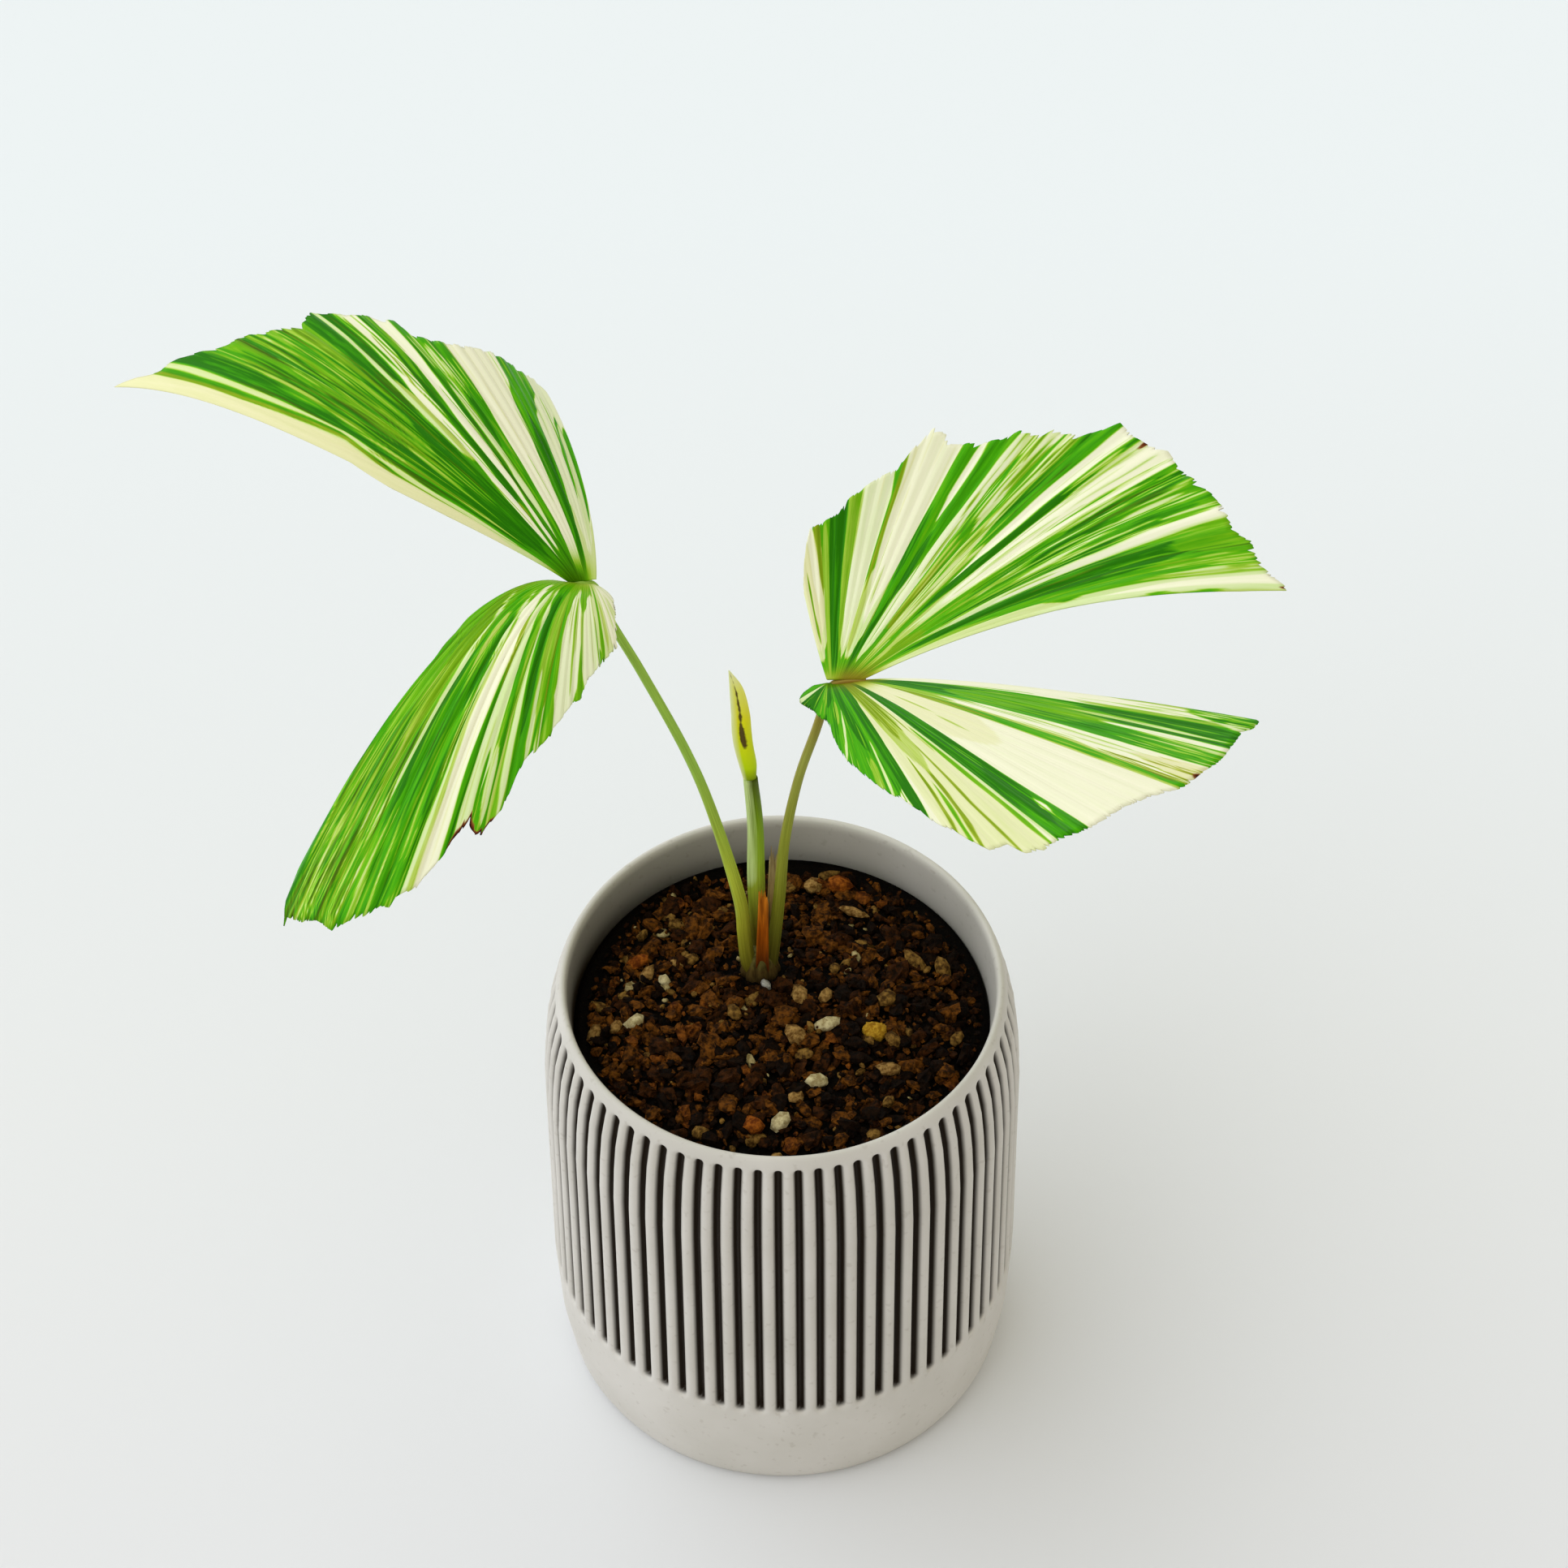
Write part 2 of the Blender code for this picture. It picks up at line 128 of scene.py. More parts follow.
# Stones that stand out in the photograph: x, y, length, width, kind of crumb
STONES = (
    (-33.3, 14.0, 6.5, 4.2, 6), (-31.0, 9.5, 6.0, 4.0, 7), (-27.2, 8.0, 4.8, 3.6, 8),
    (-24.1, 13.0, 3.8, 3.0, 7), (-33.8, -4.1, 5.0, 4.2, 8), (-37.9, -4.9, 4.2, 3.4, 7),
    (-43.0, -6.2, 5.6, 3.8, 7), (3.2, -9.4, 6.8, 6.0, 7), (9.9, -6.4, 7.2, 4.6, 8),
    (4.1, 2.2, 6.0, 4.6, 7), (10.0, 2.1, 4.4, 3.8, 7), (21.4, -7.9, 7.0, 6.4, 9),
    (24.0, 1.5, 6.6, 5.4, 4), (30.7, 13.7, 7.5, 4.0, 4), (37.3, 11.8, 6.0, 5.0, 4),
    (17.1, 28.2, 7.5, 3.0, 7), (13.6, 37.1, 6.6, 6.2, 6), (7.6, 36.7, 5.6, 5.4, 7),
    (1.9, 36.3, 4.2, 4.2, 4), (8.0, -22.3, 5.4, 4.4, 8), (3.1, -26.6, 5.0, 4.2, 7),
    (24.3, -18.6, 6.0, 4.6, 7), (25.5, -10.6, 5.0, 4.2, 4), (40.0, -9.0, 5.0, 3.6, 4),
    (37.1, -18.7, 5.0, 4.6, 2), (-6.6, -33.9, 7.4, 6.0, 6), (-0.4, -33.5, 5.4, 4.8, 8),
    (-1.5, -42.6, 5.0, 3.6, 7), (-18.6, -35.5, 4.2, 4.2, 4), (-34.3, -13.9, 6.0, 5.0, 2),
    (-3.6, 5.2, 3.4, 2.8, 10), (-10.7, -2.6, 5.0, 4.2, 4), (-19.9, 24.0, 7.0, 6.0, 2),
    (-16.3, -11.4, 8.0, 7.0, 2),
)

# Stems: the points of each path, and the radii or widths along it
STEM_MIDDLE = (-4.9, 11.6)
STEM_RINGS = ((112.0, 4.6), (115.0, 4.7), (116.6, 4.5), (118.0, 4.1), (119.5, 3.7),
              (121.0, 3.3), (122.2, 2.6), (123.0, 1.2))  # height, radius
RACHIS_Y = 14.0
LEFT_STALK = ((-6.6, 10.9, 116.5), (-7.8, 10.4, 121.3), (-8.5, 10.8, 130.0),
              (-9.5, 11.2, 142.5), (-15.0, 12.0, 170.0), (-20.5, 12.6, 190.0),
              (-29.6, 13.3, 215.0), (-36.0, 13.8, 231.0), (-38.4, RACHIS_Y, 239.8),
              (-40.6, RACHIS_Y, 242.0), (-44.4, RACHIS_Y, 242.1))
LEFT_STALK_RADII = (2.0, 1.75, 1.6, 1.5, 1.2, 1.1, 1.03, 1.0, 0.98, 0.95, 0.55)
RIGHT_STALK = ((-3.4, 11.4, 116.5), (-2.2, 11.2, 121.3), (-0.4, 11.6, 141.0),
               (1.0, 12.3, 160.0), (4.1, 13.1, 179.5), (8.1, 13.6, 195.5),
               (10.3, 13.9, 205.0), (11.6, RACHIS_Y, 209.0), (13.8, RACHIS_Y, 210.2),
               (19.0, RACHIS_Y, 210.8))
RIGHT_STALK_RADII = (1.9, 1.6, 1.4, 1.2, 1.05, 1.03, 1.0, 0.98, 0.95, 0.5)
SPEAR_STALK = ((-4.9, 13.6, 116.5), (-5.2, 14.1, 121.3), (-5.6, 14.1, 144.5),
               (-5.6, 14.0, 163.9), (-6.5, 14.0, 179.6))
SPEAR_STALK_RADII = (1.5, 1.6, 2.0, 1.8, 1.6)
STALK_SIDES = 24
STALK_RIBS = 0.03  # height of the fine ribs, of the radius
SPEAR_LEAF = ((-6.4, 14.0, 177.6), (-6.7, 14.0, 181.0), (-7.0, 14.0, 184.4),
              (-7.8, 14.0, 190.0), (-8.2, 14.0, 195.0), (-8.4, 14.0, 201.0),
              (-9.2, 14.0, 208.5), (-10.7, 14.0, 214.5))
SPEAR_LEAF_WIDTHS = (2.6, 3.3, 4.0, 4.3, 4.4, 4.1, 3.0, 0.25)
SPEAR_SPLIT = 262  # angle of the split round the spear, from +X
DRIED_SHEATH = ((-4.4, 9.3, 117.5), (-4.3, 8.9, 124.0), (-4.1, 9.1, 134.0), (-3.8, 9.5, 147.0))
DRIED_WIDTHS = ((0, 3.0), (0.6, 2.5), (1, 2.0))  # share of the path, width there
PAPERY_SHEATH = ((-2.3, 15.4, 117.5), (-1.9, 15.1, 127.0), (-1.6, 14.9, 140.0),
                 (-1.4, 15.0, 156.0))
PAPERY_WIDTHS = ((0, 3.2), (0.6, 2.8), (1, 2.0))
SHEATH_THICKNESS = 0.35

# Stalks: node, route, radii, rings, height where the painted highlight starts, and the finish:
# name, its lowest and highest level, colours between them, start and colour of the highlight
STALKS = (
    ("petiole_left", LEFT_STALK, LEFT_STALK_RADII, 150, 128,
     ("green_petiole", (116, 185), ("5E5214", "AEAE34", "BCCA42", "AAC648", "A0C84C"),
      0.8, "BCD468")),
    ("petiole_right", RIGHT_STALK, RIGHT_STALK_RADII, 130, 140,
     ("olive_petiole", (116, 211), ("50461A", "828626", "9CA43A", "A2A64A", "86640E"),
      0.9, "B0A04C")),
    ("spear_stalk", SPEAR_STALK, SPEAR_STALK_RADII, 70, 138,
     ("striped_stalk", (116, 180),
      ("4C440E", "7E7624", "A8BA3A", "A0C434", "82A61E", "4C5A0C"), 0.0, "CDE294")),
)

# Spent sheaths: node, slot, path, widths, bow of the edges, colours from the foot up,
# lowest and highest level of the colours, seed
SHEATHS = (
    ("dried_sheath", "dried_leaf", DRIED_SHEATH, DRIED_WIDTHS, 0.26,
     ("5C2A04", "B45C08", "E08620"), (118, 147), 3),
    ("papery_sheath", "papery_leaf", PAPERY_SHEATH, PAPERY_WIDTHS, 0.2,
     ("6A5428", "C0A468", "DCC894"), (118, 156), 4),
)

# Leaf blades
VEINS_PER_DEGREE = 7.5
ROWS_PER_MM = 0.6
ROW_CROWDING = 1.15  # above 1, the rows lie closer together near the rachis
LEAF_THICKNESS = 0.36
SPRING_LENGTH = 14.0  # a vein turns into its arch over this length
FOLD_WIDTHS = (3.1, 4.7)  # of the pleats, which beat with each other
FOLD_START = 45.0  # the pleats rise to their height over this length
RIB_WIDTH = 0.93
RIB_HEIGHT = 0.014
TOOTH_WIDTHS = (0.35, 1.5)  # of the seeded teeth of the margin, as angles
TOOTH_DEPTH = 2.2
TOOTH_COUNT = 300  # more than the longest margin takes
PAINT_EDGE = 0.34  # how softly one streak gives way to the next
HUB_SIDE = 4  # a band that starts this near the rachis, or nearer, has no pointed start
BEYOND_MARGIN = 120  # and one that ends this far out, or farther, has no pointed end
HUB_NARROWING = 0.4  # how much less far the green by the rachis goes at the last vein

# Paints of a blade: how green it is, from cream at 0 to deep green at 1, and how far it
# turns to olive and brown
IVORY = (0.04, 0.0)
CREAM = (0.04, 0.08)
WARM = (0.10, 0.5)
MILK = (0.10, 0.04)
PALE = (0.2, 0.06)
STRAW = (0.22, 0.24)
MOSS = (0.38, 0.35)
LIME = (0.54, 0.18)
BRIGHT = (0.67, 0.12)
TURF = (0.68, 0.34)
LEAF = (0.78, 0.0)
DEEP = (1.0, 0.0)
SHADE = (1.0, 0.5)
OLIVE = (0.64, 0.6)
BROWN = (0.85, 1.0)


@dataclass
class Blade:
    """A fan of veins that leave the rachis. The first vein runs along the blade's long
    edge. Where there are two values, they are for the first and the last vein of the
    fan, and a vein between them takes a value between."""

    seat: tuple  # where the two outer veins start
    side: int  # +1 where the fan opens anticlockwise as seen from above, else -1
    heading: float  # of the first vein, from +X
    rise: float  # of the first vein, above level
    roll: float  # of the fan about its first vein
    fan: float  # angle between the outer veins
    cup: float  # lift of the middle vein out of the plane of the outer two
    spring: tuple  # downward bend near the rachis
    droop: tuple  # downward bend per millimetre along the whole vein
    sway: tuple  # turn within the blade per millimetre
    edge: tuple  # the long edge: distance along a vein, angle within the fan
    end: float  # angle of the other edge
    margin: tuple  # torn outer edge: angle within the fan, length of the vein there
    fold: float  # height of the pleats
    ground: tuple  # the paint under all bands
    bands: tuple  # each a paint, then its stations: distance along the veins, two angles
    flecks: tuple  # paint, count, angles, distances, length and width of seeded streaks
    hub: tuple  # how green, and how olive, both sides are by the rachis; how far that goes
    torn: tuple  # stretches of the outer edge with a brown rim: two angles, its width
    spots: tuple  # brown places: angle, distance, half sizes in both


LEFT_UPPER = Blade(
    seat=((-43.9, RACHIS_Y, 242.3), (-38.7, RACHIS_Y, 243.2)), side=-1,
    heading=183.7, rise=47.0, roll=31.7, fan=65, cup=7.9,
    spring=(16.5, 28.7), droop=(0.56, 0.43), sway=(0.275, 0.424),
    edge=((0, -1.0), (20, -1.2), (30, -1.5), (44, -1.4), (54, 0.0), (124, 0.0)), end=66.5,
    margin=((-1.5, 123), (0, 123), (1, 118), (2, 114), (3, 110.5), (5.2, 107.5), (7.5, 101),
            (9.5, 97), (12.2, 95), (13, 91.5), (14.8, 90.5), (17, 85), (17.8, 86.5),
            (20.2, 87.5), (23.2, 82), (26.8, 77.5), (27.8, 74.5), (29.8, 73.5), (30.6, 67.5),
            (33, 64.5), (38, 61.5), (50, 58.5), (56, 55.5), (61.5, 57), (65, 58), (67, 52)),
    fold=0.18,
    ground=(0.86, 0.04),
    bands=(
        (DEEP, (8, 3.6, 17), (25, 5.6, 17.6), (45, 6.4, 17.6), (60, 7.4, 10)),
        (BRIGHT, (40, 9.8, 14.6), (60, 9.8, 17.2), (75, 9.8, 18), (130, 7, 19.5)),
        (LIME, (44, 12.2, 14.4), (62, 13, 15.2), (76, 14.6, 17.2), (90, 14.6, 17)),
        (LIME, (20, 8.6, 9.1), (40, 9.4, 10), (58, 10.2, 10.6)),
        (LIME, (24, 11.6, 12.1), (38, 11.9, 12.5), (54, 11.8, 12.3)),
        (DEEP, (10, 14, 17.2), (25, 15, 17.6), (40, 15.6, 17.9), (56, 16.4, 18.2)),
        (STRAW, (0, -4, 3.6), (12, -4, 3.2), (20, -4, 2.6), (35, -4, 2.0), (45, -4, 2.3),
         (58, -4, 3.8), (70, -4, 3.0), (85, -4, 2.4), (130, -4, 2.2)),
        ((0.1, 0.56), (14, -4, 2.8), (20, -4, 2.3), (35, -4, 1.6), (45, -4, 1.9), (58, -4, 3.4),
         (70, -4, 2.8), (85, -4, 2.3), (130, -4, 2.1)),
        (LEAF, (0, 3.6, 5), (20, 3, 5.4), (45, 3.6, 5.6), (60, 4.8, 6.4), (130, 4.2, 7)),
        (OLIVE, (26, 2.0, 2.4), (45, 2.2, 2.7), (58, 3.8, 4.2), (70, 3.1, 3.6), (85, 2.5, 3.0),
         (95, 2.3, 2.8), (130, 2.4, 2.8)),
        (STRAW, (14, 2.6, 4), (35, 2.6, 3.7), (45, 3.1, 4), (60, 4.5, 5.2), (70, 4.1, 4.8),
         (85, 3.5, 4.3), (130, 3.2, 4.1)),
        (DEEP, (12, 4.1, 5.2), (45, 4.3, 5.3), (60, 5.4, 6.3), (72, 5, 6.9), (85, 4.6, 7),
         (130, 4.4, 6.6)),
        (MOSS, (14, 5.5, 6.6), (30, 5.8, 6.5), (45, 6, 6.6), (60, 6.7, 7.2), (70, 7.3, 7.9),
         (85, 7.1, 7.7), (100, 6.9, 7.5)),
        (LIME, (52, 7.8, 8.2), (70, 9.1, 9.6), (97, 9, 9.6)),
        (DEEP, (62, 9.8, 11), (80, 10.3, 11.6), (96, 10, 11.4)),
        (STRAW, (62, 11.4, 11.8), (75, 12.3, 12.7), (92, 12.5, 12.9)),
        (DEEP, (52, 17.4, 18.6), (65, 18, 19.6), (76, 18.5, 20), (130, 18, 21)),
        (MOSS, (34, 18.2, 20.6), (50, 18.6, 21), (60, 19.2, 21)),
        (PALE, (36, 18.2, 19.2), (50, 18.4, 19.4), (60, 19.1, 19.9), (75, 19.9, 20.8),
         (130, 20.4, 21.6)),
        (DEEP, (56, 20, 21.5), (70, 20.8, 22.8), (130, 21.4, 23.8)),
        (PALE, (54, 21.2, 22.3), (65, 22, 23.6), (130, 23.3, 24.7)),
        (DEEP, (15, 20.2, 21.7), (25, 21.3, 23), (35, 22.1, 24), (45, 22.7, 24.3), (55, 23.5, 25),
         (65, 24.8, 26.7), (130, 26.1, 27.6)),
        (CREAM, (6, 16, 19.5), (15, 17.4, 20), (25, 18.7, 21.1), (35, 19.7, 22), (45, 20.4, 22.7),
         (55, 21.2, 23.6), (65, 22.8, 24.8), (130, 24.3, 26.2)),
        (OLIVE, (55, 22.3, 22.6), (64, 23.2, 23.5), (73, 23.9, 24.3)),
        (CREAM, (8, 20.6, 24), (20, 22.8, 25), (30, 24, 26.5), (40, 24.5, 27.5), (50, 25.2, 27.9),
         (60, 26.2, 28.4), (130, 27.6, 29.4)),
        (BRIGHT, (55, 24.2, 25.4), (65, 25.2, 26.3), (130, 26.4, 27.3)),
        (OLIVE, (16, 20.3, 21.6), (22, 21, 22.4)),
        (LEAF, (12, 25, 29), (24, 25.5, 30), (36, 27, 31)),
        (DEEP, (17, 25, 26.3), (28, 26, 28.1), (36, 27.2, 28.6), (46, 27.6, 28.3),
         (54, 27.9, 28.4)),
        (PALE, (10, 25.5, 29), (22, 27, 29.2), (30, 28.1, 30), (40, 28.4, 30.3), (54, 28.6, 30.5)),
        (LEAF, (8, 28.5, 32), (20, 29, 33), (35, 30.3, 33.8), (45, 30.5, 34), (55, 29, 35),
         (130, 28.6, 36)),
        (DEEP, (33, 30.4, 31.6), (50, 31, 32.5)),
        (CREAM, (4, 31, 41), (15, 33.2, 42), (30, 34, 43.6), (40, 34.4, 44.8), (50, 35.4, 47.2),
         (130, 37, 52)),
        (LEAF, (0, 41, 48), (12, 44, 49), (20, 44.6, 50), (30, 44.8, 50.8), (38, 44.9, 51.4),
         (44, 46, 52.6), (50, 47.8, 57), (56, 49.4, 60), (130, 50, 62)),
        (DEEP, (4, 42, 47), (12, 45, 48.6), (20, 46, 49.4), (32, 46.4, 50.4), (42, 47, 50)),
        (STRAW, (0, 47, 70), (10, 48.8, 70), (24, 52, 70)),
        (MILK, (5, 49, 68), (20, 50.3, 68), (30, 51.2, 68), (40, 52.6, 68), (48, 57, 68),
         (130, 61, 70)),
        (PALE, (6, 58, 63.4), (30, 60, 64), (40, 62, 67)),
        (LEAF, (17, 57.4, 59.2), (28, 58.2, 59.9), (36, 60.2, 62), (43, 61.7, 64.6)),
        (PALE, (10, 60.4, 62.6), (40, 61.4, 63.4)),
        (LEAF, (12, 63.8, 66.2), (24, 63.9, 66.3), (40, 64.8, 67)),
    ),
    flecks=(
        (MOSS, 14, (6, 18), (14, 60), 26, 0.2),
        (LIME, 22, (6, 18), (30, 97), 26, 0.22),
        (TURF, 26, (7, 18), (36, 97), 24, 0.4),
        (STRAW, 14, (7, 17), (60, 97), 16, 0.16),
        (DEEP, 46, (5, 19), (30, 92), 26, 0.28),
        (SHADE, 26, (4, 18), (16, 92), 20, 0.24),
        (SHADE, 20, (18, 34), (12, 84), 16, 0.2),
        (PALE, 16, (29, 35), (44, 66), 9, 0.35),
        (LIME, 16, (28.5, 34), (6, 50), 10, 0.4),
        (DEEP, 18, (19, 34), (20, 84), 20, 0.22),
        (WARM, 8, (34, 46), (10, 60), 26, 0.25),
        (LEAF, 5, (36, 50), (8, 58), 18, 0.12),
        (LIME, 10, (49, 58), (44, 58), 8, 0.5),
        (LEAF, 9, (52, 65), (14, 50), 22, 0.22),
    ),
    hub=((0.95, 0.34), (0.3, 0.3), 5.5),
    torn=(),
    spots=(),
)

LEFT_LOWER = Blade(
    seat=((-44.6, RACHIS_Y, 241.8), (-39.4, RACHIS_Y, 241.7)), side=1,
    heading=192.7, rise=37.2, roll=27.8, fan=80, cup=0.7,
    spring=(65.5, 63.3), droop=(0.252, 0.166), sway=(0.126, 2.40),
    edge=((0, -4), (20, -4), (25, -2.5), (30, 0), (35, 1.1), (45, 0.9), (60, 0.6), (72, 0),
          (82, -1), (88, -1.4), (93, -0.5), (97, 1), (101, 3)), end=80.5,
    margin=((-2, 101), (2, 101), (3, 100.4), (3.6, 98.4), (9, 97.5), (12.8, 95.5),
            (16.5, 96), (18.8, 93.5), (22.5, 90), (24.8, 87), (26, 86.5), (26.3, 84),
            (29.2, 80.5), (30.2, 76), (31.5, 71), (33.5, 65), (34, 62.5), (34.4, 64.5),
            (36, 66), (37.5, 65.5), (39, 61), (41.2, 56), (41.8, 52), (42.8, 48), (46.8, 44),
            (51, 38), (54.8, 33.5), (58.8, 31.5), (61.3, 27.5), (67, 24), (74.8, 20),
            (81, 18)),
    fold=0.22,
    ground=(0.64, 0.1),
    bands=(
        (TURF, (6, -10, 6), (16, -4, 8), (26, 5, 12), (40, 8, 12.6), (70, 8, 12)),
        (BRIGHT, (14, -10, 4), (24, -2, 6), (45, 5.5, 8.6), (60, 5.6, 8.4), (80, 4, 8)),
        (LEAF, (28, 0, 2.8), (38, 1, 3.2), (50, 1, 2.9), (60, 0, 2)),
        (LEAF, (73, -2, 2.6), (85, -2, 1.8), (95, -2, 2.4)),
        (LEAF, (76, 4.6, 8), (88, 4.6, 8.2), (97, 4, 7)),
        (MOSS, (50, 4.8, 5.3), (62, 4.4, 4.9), (74, 3.2, 3.8), (84, 2, 2.5)),
        (STRAW, (40, 9.5, 9.9), (62, 8.5, 8.9), (74, 8.3, 8.7), (90, 7.5, 7.9)),
        (STRAW, (62, 10.4, 10.8), (72, 10.7, 11.2), (84, 10.6, 11.1), (97, 9.8, 10.2)),
        (LEAF, (10, 3, 13), (16, 11, 16), (25, 14, 19), (40, 15, 20), (70, 14, 20), (130, 13, 20)),
        (MOSS, (18, 14.6, 17), (28, 16.4, 18.6), (36, 17.4, 18.6)),
        (PALE, (10, -6, -2), (12, -2, 1.6), (14, 3.5, 6), (18, 8.3, 10.4), (22, 11, 12.4),
         (26, 12.1, 13.5), (35, 13.2, 14.6), (50, 13.7, 14.9), (60, 13.6, 14.7), (70, 13.3, 14.2),
         (80, 12.8, 13.6)),
        (DEEP, (24, 14, 15.3), (35, 14.9, 16.1), (50, 15.2, 16.3), (62, 15.1, 16.5),
         (74, 14.8, 16.1)),
        (PALE, (78, 14.5, 15.3), (86, 13.8, 14.6), (97, 13, 13.8)),
        (LEAF, (14, 13, 19), (24, 18, 22), (35, 19, 23), (60, 19, 24), (130, 20, 24)),
        (DEEP, (18, 17.6, 20.6), (28, 19.4, 22.2), (36, 20.2, 22.6), (44, 20.6, 22.7)),
        (PALE, (10, 13, 16.5), (15, 18.4, 20.5), (20, 20.6, 22.1), (27, 22, 23.5),
         (33, 22.6, 24.1), (40, 22.4, 24.3), (47, 22.3, 24.3), (55, 23.2, 24.8), (65, 24, 25.1),
         (75, 23.9, 25), (130, 24, 25.6)),
        (CREAM, (5, 14, 20), (10, 18, 25), (15, 20.6, 26.6), (20, 22.8, 28), (27, 24.3, 28.9),
         (35, 25, 29.1), (45, 24.9, 28.7), (60, 25.6, 28.7), (75, 25.8, 28.9), (130, 26, 29)),
        (MOSS, (20, 22.1, 23), (27, 23.6, 24.4), (33, 24.2, 24.9), (45, 24.3, 25),
         (55, 24.9, 25.4), (65, 25.1, 25.7), (80, 25, 25.6), (130, 25.3, 25.9)),
        (LEAF, (8, 24, 30), (13, 26, 31), (20, 28, 33), (30, 29, 35), (40, 28.8, 36),
         (50, 28.6, 36.6), (130, 28.8, 37)),
        (PALE, (8, 26, 30), (15, 27.6, 31), (25, 29.6, 32.6), (35, 30.3, 33.8), (50, 30.3, 33.9),
         (60, 30.2, 33.1), (74, 30.1, 31)),
        (OLIVE, (12, 25.6, 26.8), (20, 27.6, 28.6), (28, 28.9, 29.8), (36, 29.3, 30.1)),
        (DEEP, (38, 29.4, 30.1), (50, 29.5, 30.1), (65, 29.3, 29.9), (79, 29.2, 29.8)),
        (PALE, (46, 33.6, 35.2), (56, 34, 35.4), (64, 34.4, 35.6)),
        (LEAF, (48, 32.2, 33), (56, 32.2, 33.1), (62, 32.3, 33.2)),
        (MOSS, (32, 35.5, 36.3), (50, 36, 36.9), (66, 36.2, 36.8)),
        (LEAF, (4, 30, 42), (10, 33, 41), (20, 36, 41), (40, 37.6, 41.4), (60, 38, 41.8)),
        (DEEP, (8, 33.5, 39.5), (14, 36.2, 40), (24, 37.8, 40.6), (44, 38.6, 40.8)),
        (PALE, (7, 29, 33), (15, 34, 35.8), (20, 35.1, 36.3), (30, 36.3, 37.5), (40, 37, 38.2),
         (55, 37.3, 38.3), (66, 37.6, 38.2)),
        (LIME, (6, 40, 46), (20, 40.9, 45), (30, 41, 44.2), (48, 41.2, 44)),
        (LEAF, (10, 44.4, 47.4), (20, 44.9, 47), (30, 44, 47.1), (36, 43.8, 46.8),
         (48, 42.4, 44.8)),
        (PALE, (28, 41, 42.2), (38, 41.4, 43), (50, 41.2, 43.2)),
        (PALE, (34, 44.6, 45.4), (48, 43.6, 44.8)),
        (OLIVE, (12, 44.8, 46.6), (26, 44.6, 45.8), (36, 44.2, 45.2)),
        (MILK, (5, 48, 58), (20, 47.5, 57), (30, 47.8, 56), (42, 46.4, 52)),
        (LIME, (8, 52.6, 53.8), (20, 53.1, 53.8), (32, 53, 53.6)),
        (BRIGHT, (8, 57, 59.2), (20, 56.8, 58.3), (33, 55.6, 57.6)),
        (MILK, (6, 59.5, 70), (20, 58.6, 68), (32, 58, 64)),
        (BRIGHT, (12, 65.9, 66.4), (25, 66.1, 66.6)),
        (STRAW, (2, 68, 84), (24, 67, 84)),
        (BRIGHT, (3, 69.6, 72), (12, 69.4, 71.6), (24, 68.4, 71)),
        (MOSS, (6, 72.6, 75), (20, 72, 75)),
        (CREAM, (2, 76, 86), (20, 75.6, 86)),
    ),
    flecks=(
        (STRAW, 34, (1, 14), (60, 98), 18, 0.2),
        (MOSS, 44, (1, 14), (24, 96), 24, 0.24),
        (DEEP, 84, (0, 14), (45, 98), 18, 0.24),
        (OLIVE, 30, (1, 15), (50, 98), 16, 0.24),
        (DEEP, 16, (0, 12), (72, 98), 14, 0.5),
        (SHADE, 50, (1, 15), (62, 98), 12, 0.26),
        (SHADE, 26, (0, 14), (12, 66), 16, 0.2),
        (PALE, 26, (2, 14), (74, 98), 10, 0.14),
        (SHADE, 16, (15, 24), (20, 92), 16, 0.2),
        (STRAW, 22, (16, 24), (58, 92), 20, 0.2),
        (LIME, 16, (15, 24), (16, 88), 24, 0.3),
        (DEEP, 32, (15, 24), (25, 88), 22, 0.26),
        (MOSS, 14, (30, 37), (20, 64), 18, 0.2),
        (WARM, 8, (25, 29), (12, 84), 28, 0.2),
        (BRIGHT, 12, (41, 47), (12, 44), 14, 0.3),
        (MOSS, 14, (48, 66), (5, 16), 12, 0.5),
        (PALE, 10, (48, 68), (8, 34), 16, 0.4),
    ),
    hub=((0.5, 0.36), (0.4, 0.5), 5),
    torn=((29.4, 34.2, 1.2), (34.0, 37.6, 0.45)),
    spots=(),
)

# The last veins of that blade are short and go on round the rachis as a pale lobe, which
# hides the end of the petiole.
LEFT_LOBE = replace(
    LEFT_LOWER, edge=((0, 80), (18, 80)), end=172,
    margin=((80, 17.5), (82, 16), (85, 14), (90, 11.3), (100, 8.9), (110, 6.8), (125, 5.8),
            (140, 4.7), (150, 4.2), (172, 3)),
    ground=CREAM,
    bands=(
        (STRAW, (0, 78, 84), (14, 78, 83)),
    ),
    flecks=((STRAW, 8, (84, 150), (1, 10), 7, 3),),
    hub=((0.4, 0.3), (0.4, 0.4), 3),
    torn=(),
)

